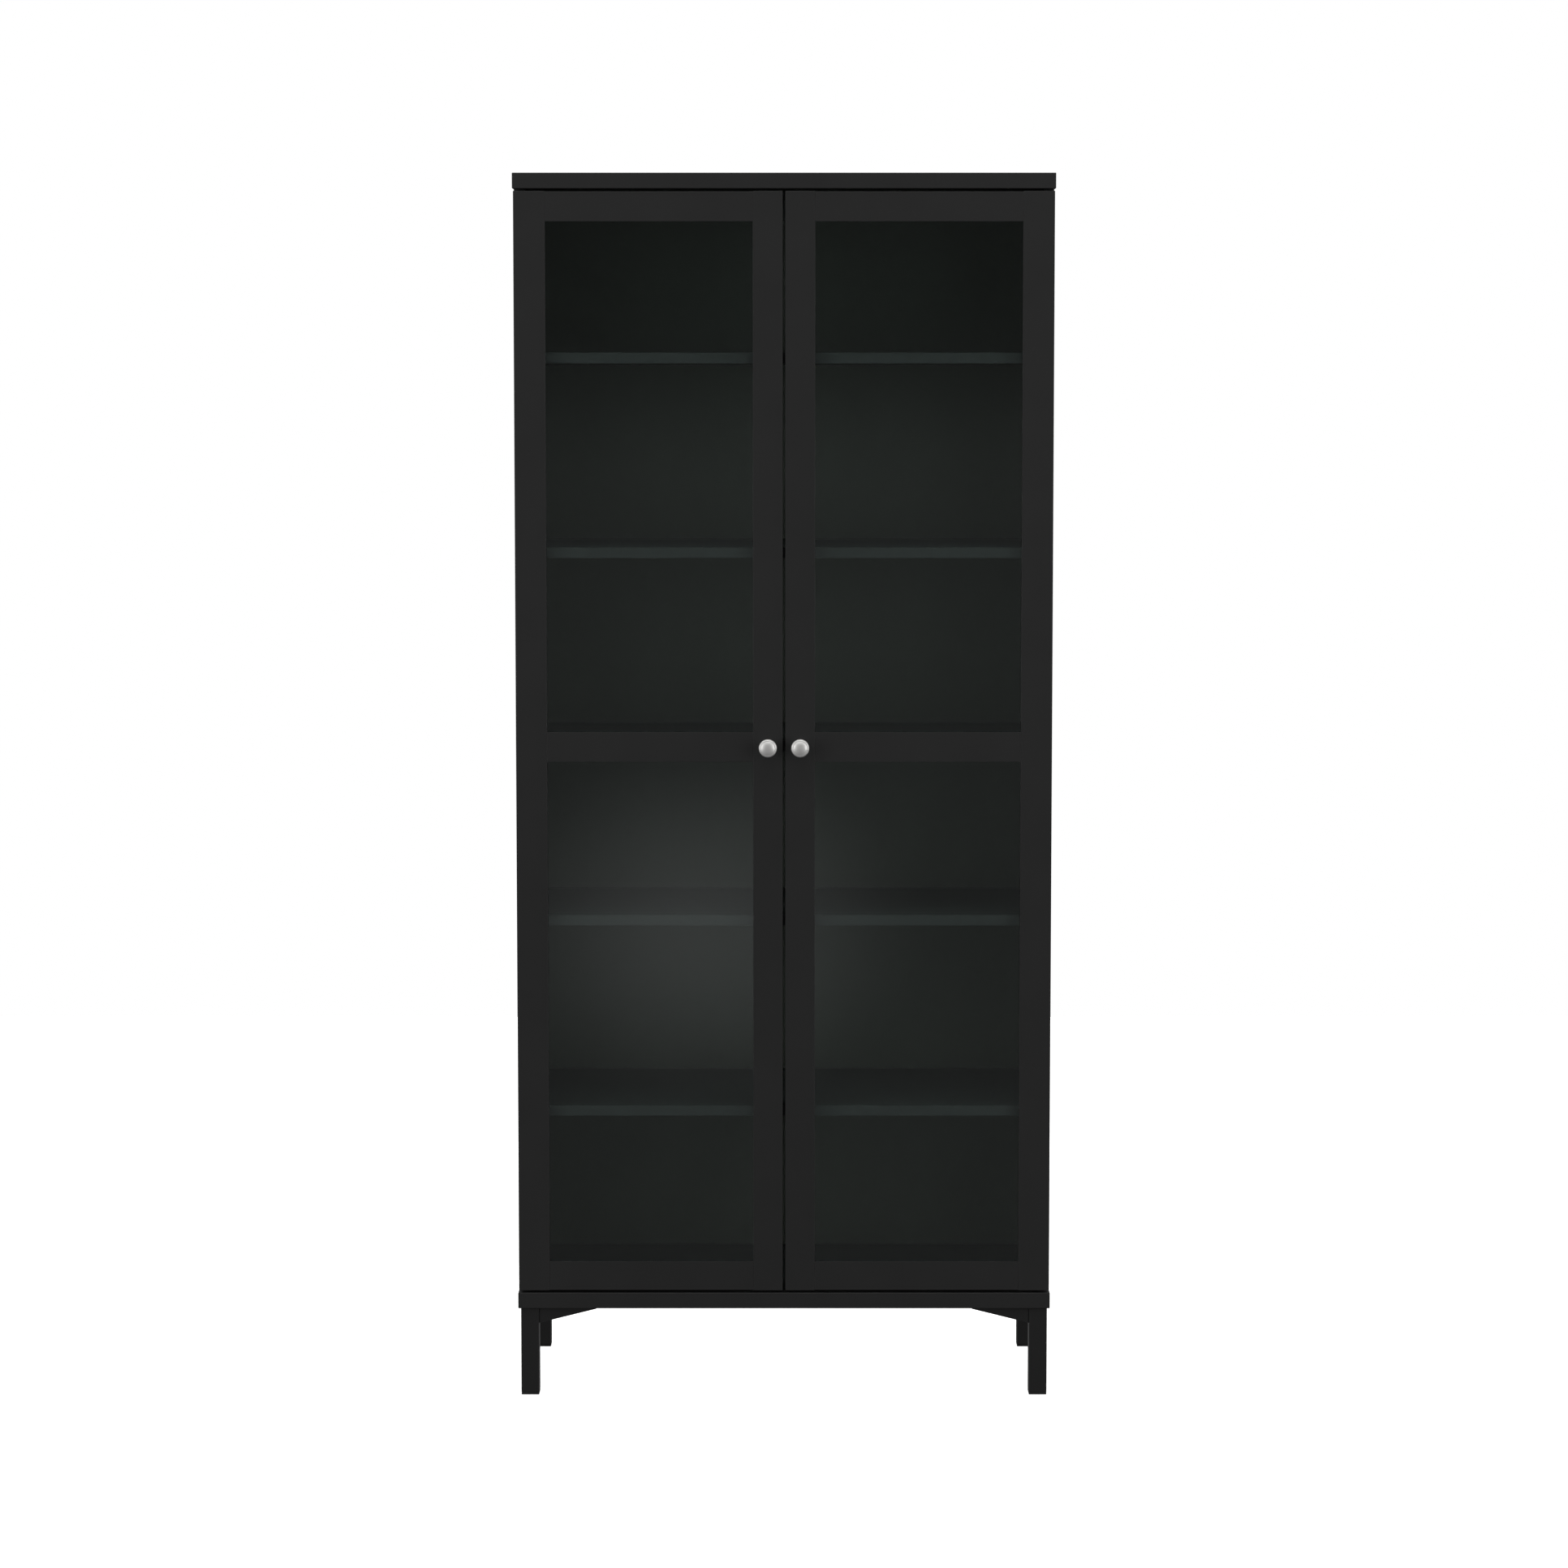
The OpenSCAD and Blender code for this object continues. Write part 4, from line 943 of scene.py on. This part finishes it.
class CABINET_OT_studio(bpy.types.Operator):
    """Make the floor, the lights, the surround and the camera."""

    bl_idname = "cabinet.studio"
    bl_label = "Studio"

    def execute(self, context):
        scene = context.scene
        studio = scene.cabinet_studio
        self.floor(scene)
        self.surround(scene, studio)
        centre = Vector((0, 0, CAD_HIGH[2] / 2))
        self.area("top_light", TOP_PLACE, centre, TOP_SIZE, studio.top_power)
        for side, sign in SIDES.items():
            fill, rim = ((sign * place[0], *place[1:]) for place in (FILL_PLACE, RIM_PLACE))
            self.area(f"{side}_fill_light", fill, centre, FILL_SIZE, studio.fill_power)
            self.area(f"{side}_rim_light", rim, centre, RIM_SIZE, studio.rim_power)
        glow = self.area("pane_glow", GLOW_PLACE, Vector(GLOW_AIM), GLOW_SIZE, studio.glow_power)
        self.soften(glow.data)
        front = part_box("left_hinge_stile")[0].y
        camera = bpy.data.cameras.new("camera")
        camera.sensor_width = SENSOR_WIDTH
        camera.lens = studio.camera_lens
        camera.shift_y = studio.camera_shift
        holder = bpy.data.objects.new("camera", camera)
        holder.location = (0, front - studio.camera_distance, studio.camera_height)
        holder.rotation_euler = (math.pi / 2 - studio.camera_pitch, 0, 0)
        scene.collection.objects.link(holder)
        scene.camera = holder
        scene.view_settings.view_transform = "Standard"
        return {"FINISHED"}

    def floor(self, scene):
        """A plain pale floor that glows, seen directly or through glass but never mirrored."""
        deselect()
        bpy.ops.mesh.primitive_plane_add(size=1, location=(0, 0, 0))
        floor = bpy.context.active_object
        floor.scale = (FLOOR_SIZE, FLOOR_SIZE, 1)
        settle(floor, "floor")
        material, shader = new_material("pale_floor")
        tree = material.node_tree
        set_shader(shader, Roughness=0.9, Emission_Color=WHITE,
                   Emission_Strength=scene.cabinet_studio.floor_glow)
        place = add(tree, "ShaderNodeTexCoord")
        cloud = add(tree, "ShaderNodeTexNoise", inputs={"Scale": 1 / FLOOR_CLOUD},
                    links={"Vector": place.outputs["Object"]})
        two_tone(tree, shader, scene.cabinet_colours.floor, cloud.outputs["Fac"], 0.004)
        clear = add(tree, "ShaderNodeBsdfTransparent")
        mix = add(tree, "ShaderNodeMixShader", links={"Fac": self.in_sight(tree)})
        tree.links.new(clear.outputs["BSDF"], mix.inputs[1])
        tree.links.new(shader.outputs["BSDF"], mix.inputs[2])
        tree.links.new(mix.outputs["Shader"], tree.nodes["Material Output"].inputs["Surface"])
        floor.data.materials.append(material)
        floor.visible_glossy = floor.visible_diffuse = False
        floor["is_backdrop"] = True

    def in_sight(self, tree):
        """1 for what is seen directly or through clear glass, and 0 for what only lights or is mirrored."""
        rays = add(tree, "ShaderNodeLightPath")
        bounces = add(tree, "ShaderNodeMath", {"operation": "ADD"},
                      links={0: rays.outputs["Diffuse Depth"], 1: rays.outputs["Glossy Depth"]})
        sight = add(tree, "ShaderNodeMath", {"operation": "LESS_THAN"}, {1: 0.5},
                    {0: bounces.outputs["Value"]})
        return sight.outputs["Value"]

    def surround(self, scene, studio):
        """White to look at, but it lights most from above and hardly from where the camera stands."""
        world = bpy.data.worlds.new("studio")
        scene.world = world
        world.use_nodes = True
        tree = world.node_tree
        tree.nodes.clear()
        place = add(tree, "ShaderNodeTexCoord")
        up, ahead = (
            add(tree, "ShaderNodeVectorMath", {"operation": "DOT_PRODUCT"}, {1: way},
                {0: place.outputs["Generated"]}).outputs["Value"]
            for way in ((0, 0, 1), (0, -1, 0)))
        sky = add(tree, "ShaderNodeMapRange",
                  inputs={"From Min": SKY_FROM, "From Max": SKY_TO,
                          "To Min": SKY_LOW * studio.surround, "To Max": studio.surround},
                  links={"Value": up})
        eased = {"interpolation_type": "SMOOTHSTEP"}
        horizon = add(tree, "ShaderNodeMapRange", eased,
                      {"From Min": HORIZON_FROM, "From Max": HORIZON_TO,
                       "To Min": studio.front_low, "To Max": studio.front_dim},
                      {"Value": up})
        front = add(tree, "ShaderNodeMapRange", eased,
                    {"From Min": FRONT_FROM, "From Max": FRONT_TO},
                    {"Value": ahead, "To Min": sky.outputs["Result"], "To Max": horizon.outputs["Result"]})
        whole = add(tree, "ShaderNodeMapRange", eased,
                    {"From Min": BEHIND_TO, "From Max": BEHIND_FROM, "To Min": studio.back_surround},
                    {"Value": ahead, "To Max": front.outputs["Result"]})
        dim = add(tree, "ShaderNodeBackground", inputs={"Color": WHITE},
                  links={"Strength": whole.outputs["Result"]})
        white = add(tree, "ShaderNodeBackground", inputs={"Color": WHITE, "Strength": 1.0})
        mix = add(tree, "ShaderNodeMixShader", links={"Fac": self.in_sight(tree)})
        tree.links.new(dim.outputs["Background"], mix.inputs[1])
        tree.links.new(white.outputs["Background"], mix.inputs[2])
        add(tree, "ShaderNodeOutputWorld", links={"Surface": mix.outputs["Shader"]})

    def area(self, name, place, target, size, power):
        """A soft rectangular light aimed at a point, unseen by the camera itself."""
        light = bpy.data.lights.new(name, "AREA")
        light.shape = "RECTANGLE"
        light.size, light.size_y = size
        light.energy = power
        holder = bpy.data.objects.new(name, light)
        holder.location = place
        holder.rotation_euler = (target - Vector(place)).to_track_quat("-Z", "Y").to_euler()
        holder.visible_camera = False
        bpy.context.scene.collection.objects.link(holder)
        return holder

    def soften(self, light):
        """Fades a light from its middle to nothing at its edge."""
        light.use_nodes = True
        tree = light.node_tree
        where = add(tree, "ShaderNodeNewGeometry")
        out = add(tree, "ShaderNodeVectorMath", {"operation": "DISTANCE"}, {1: (0.5, 0.5, 0)},
                  {0: where.outputs["Parametric"]})
        fade = add(tree, "ShaderNodeMapRange", {"interpolation_type": "SMOOTHSTEP"},
                   {"From Min": 0.0, "From Max": 0.5, "To Min": 1.0, "To Max": 0.0},
                   {"Value": out.outputs["Value"]})
        tree.links.new(fade.outputs["Result"], tree.nodes["Emission"].inputs["Strength"])


OPERATORS = (
    CABINET_OT_plates, CABINET_OT_side_panels, CABINET_OT_shelves, CABINET_OT_back_panels,
    CABINET_OT_legs, CABINET_OT_gussets, CABINET_OT_door_frames, CABINET_OT_panes,
    CABINET_OT_glazing_beads, CABINET_OT_knobs, CABINET_OT_fittings, CABINET_OT_studio,
)
GROUPS = {"cabinet_sizes": CabinetSizes, "cabinet_colours": CabinetColours, "cabinet_studio": CabinetStudio}


class CABINET_PT_finish(bpy.types.Panel):
    """Lists the cabinet's operators and settings."""

    bl_idname = "CABINET_PT_finish"
    bl_label = "China Cabinet"
    bl_space_type = "VIEW_3D"
    bl_region_type = "UI"
    bl_category = "Cabinet"

    def draw(self, context):
        for operator in OPERATORS:
            self.layout.operator(operator.bl_idname)
        for name in GROUPS:
            group = getattr(context.scene, name)
            for key in group.__annotations__:
                self.layout.prop(group, key)


def register():
    for group in GROUPS.values():
        bpy.utils.register_class(group)
    for name, group in GROUPS.items():
        setattr(bpy.types.Scene, name, PointerProperty(type=group))
    for operator in OPERATORS:
        bpy.utils.register_class(operator)
    bpy.utils.register_class(CABINET_PT_finish)


def unregister():
    bpy.utils.unregister_class(CABINET_PT_finish)
    for operator in reversed(OPERATORS):
        bpy.utils.unregister_class(operator)
    for name, group in GROUPS.items():
        delattr(bpy.types.Scene, name)
        bpy.utils.unregister_class(group)


def main():
    """Registers the add-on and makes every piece."""
    register()
    for operator in OPERATORS:
        group, name = operator.bl_idname.split(".")
        getattr(getattr(bpy.ops, group), name)()


if __name__ == "__main__":
    main()
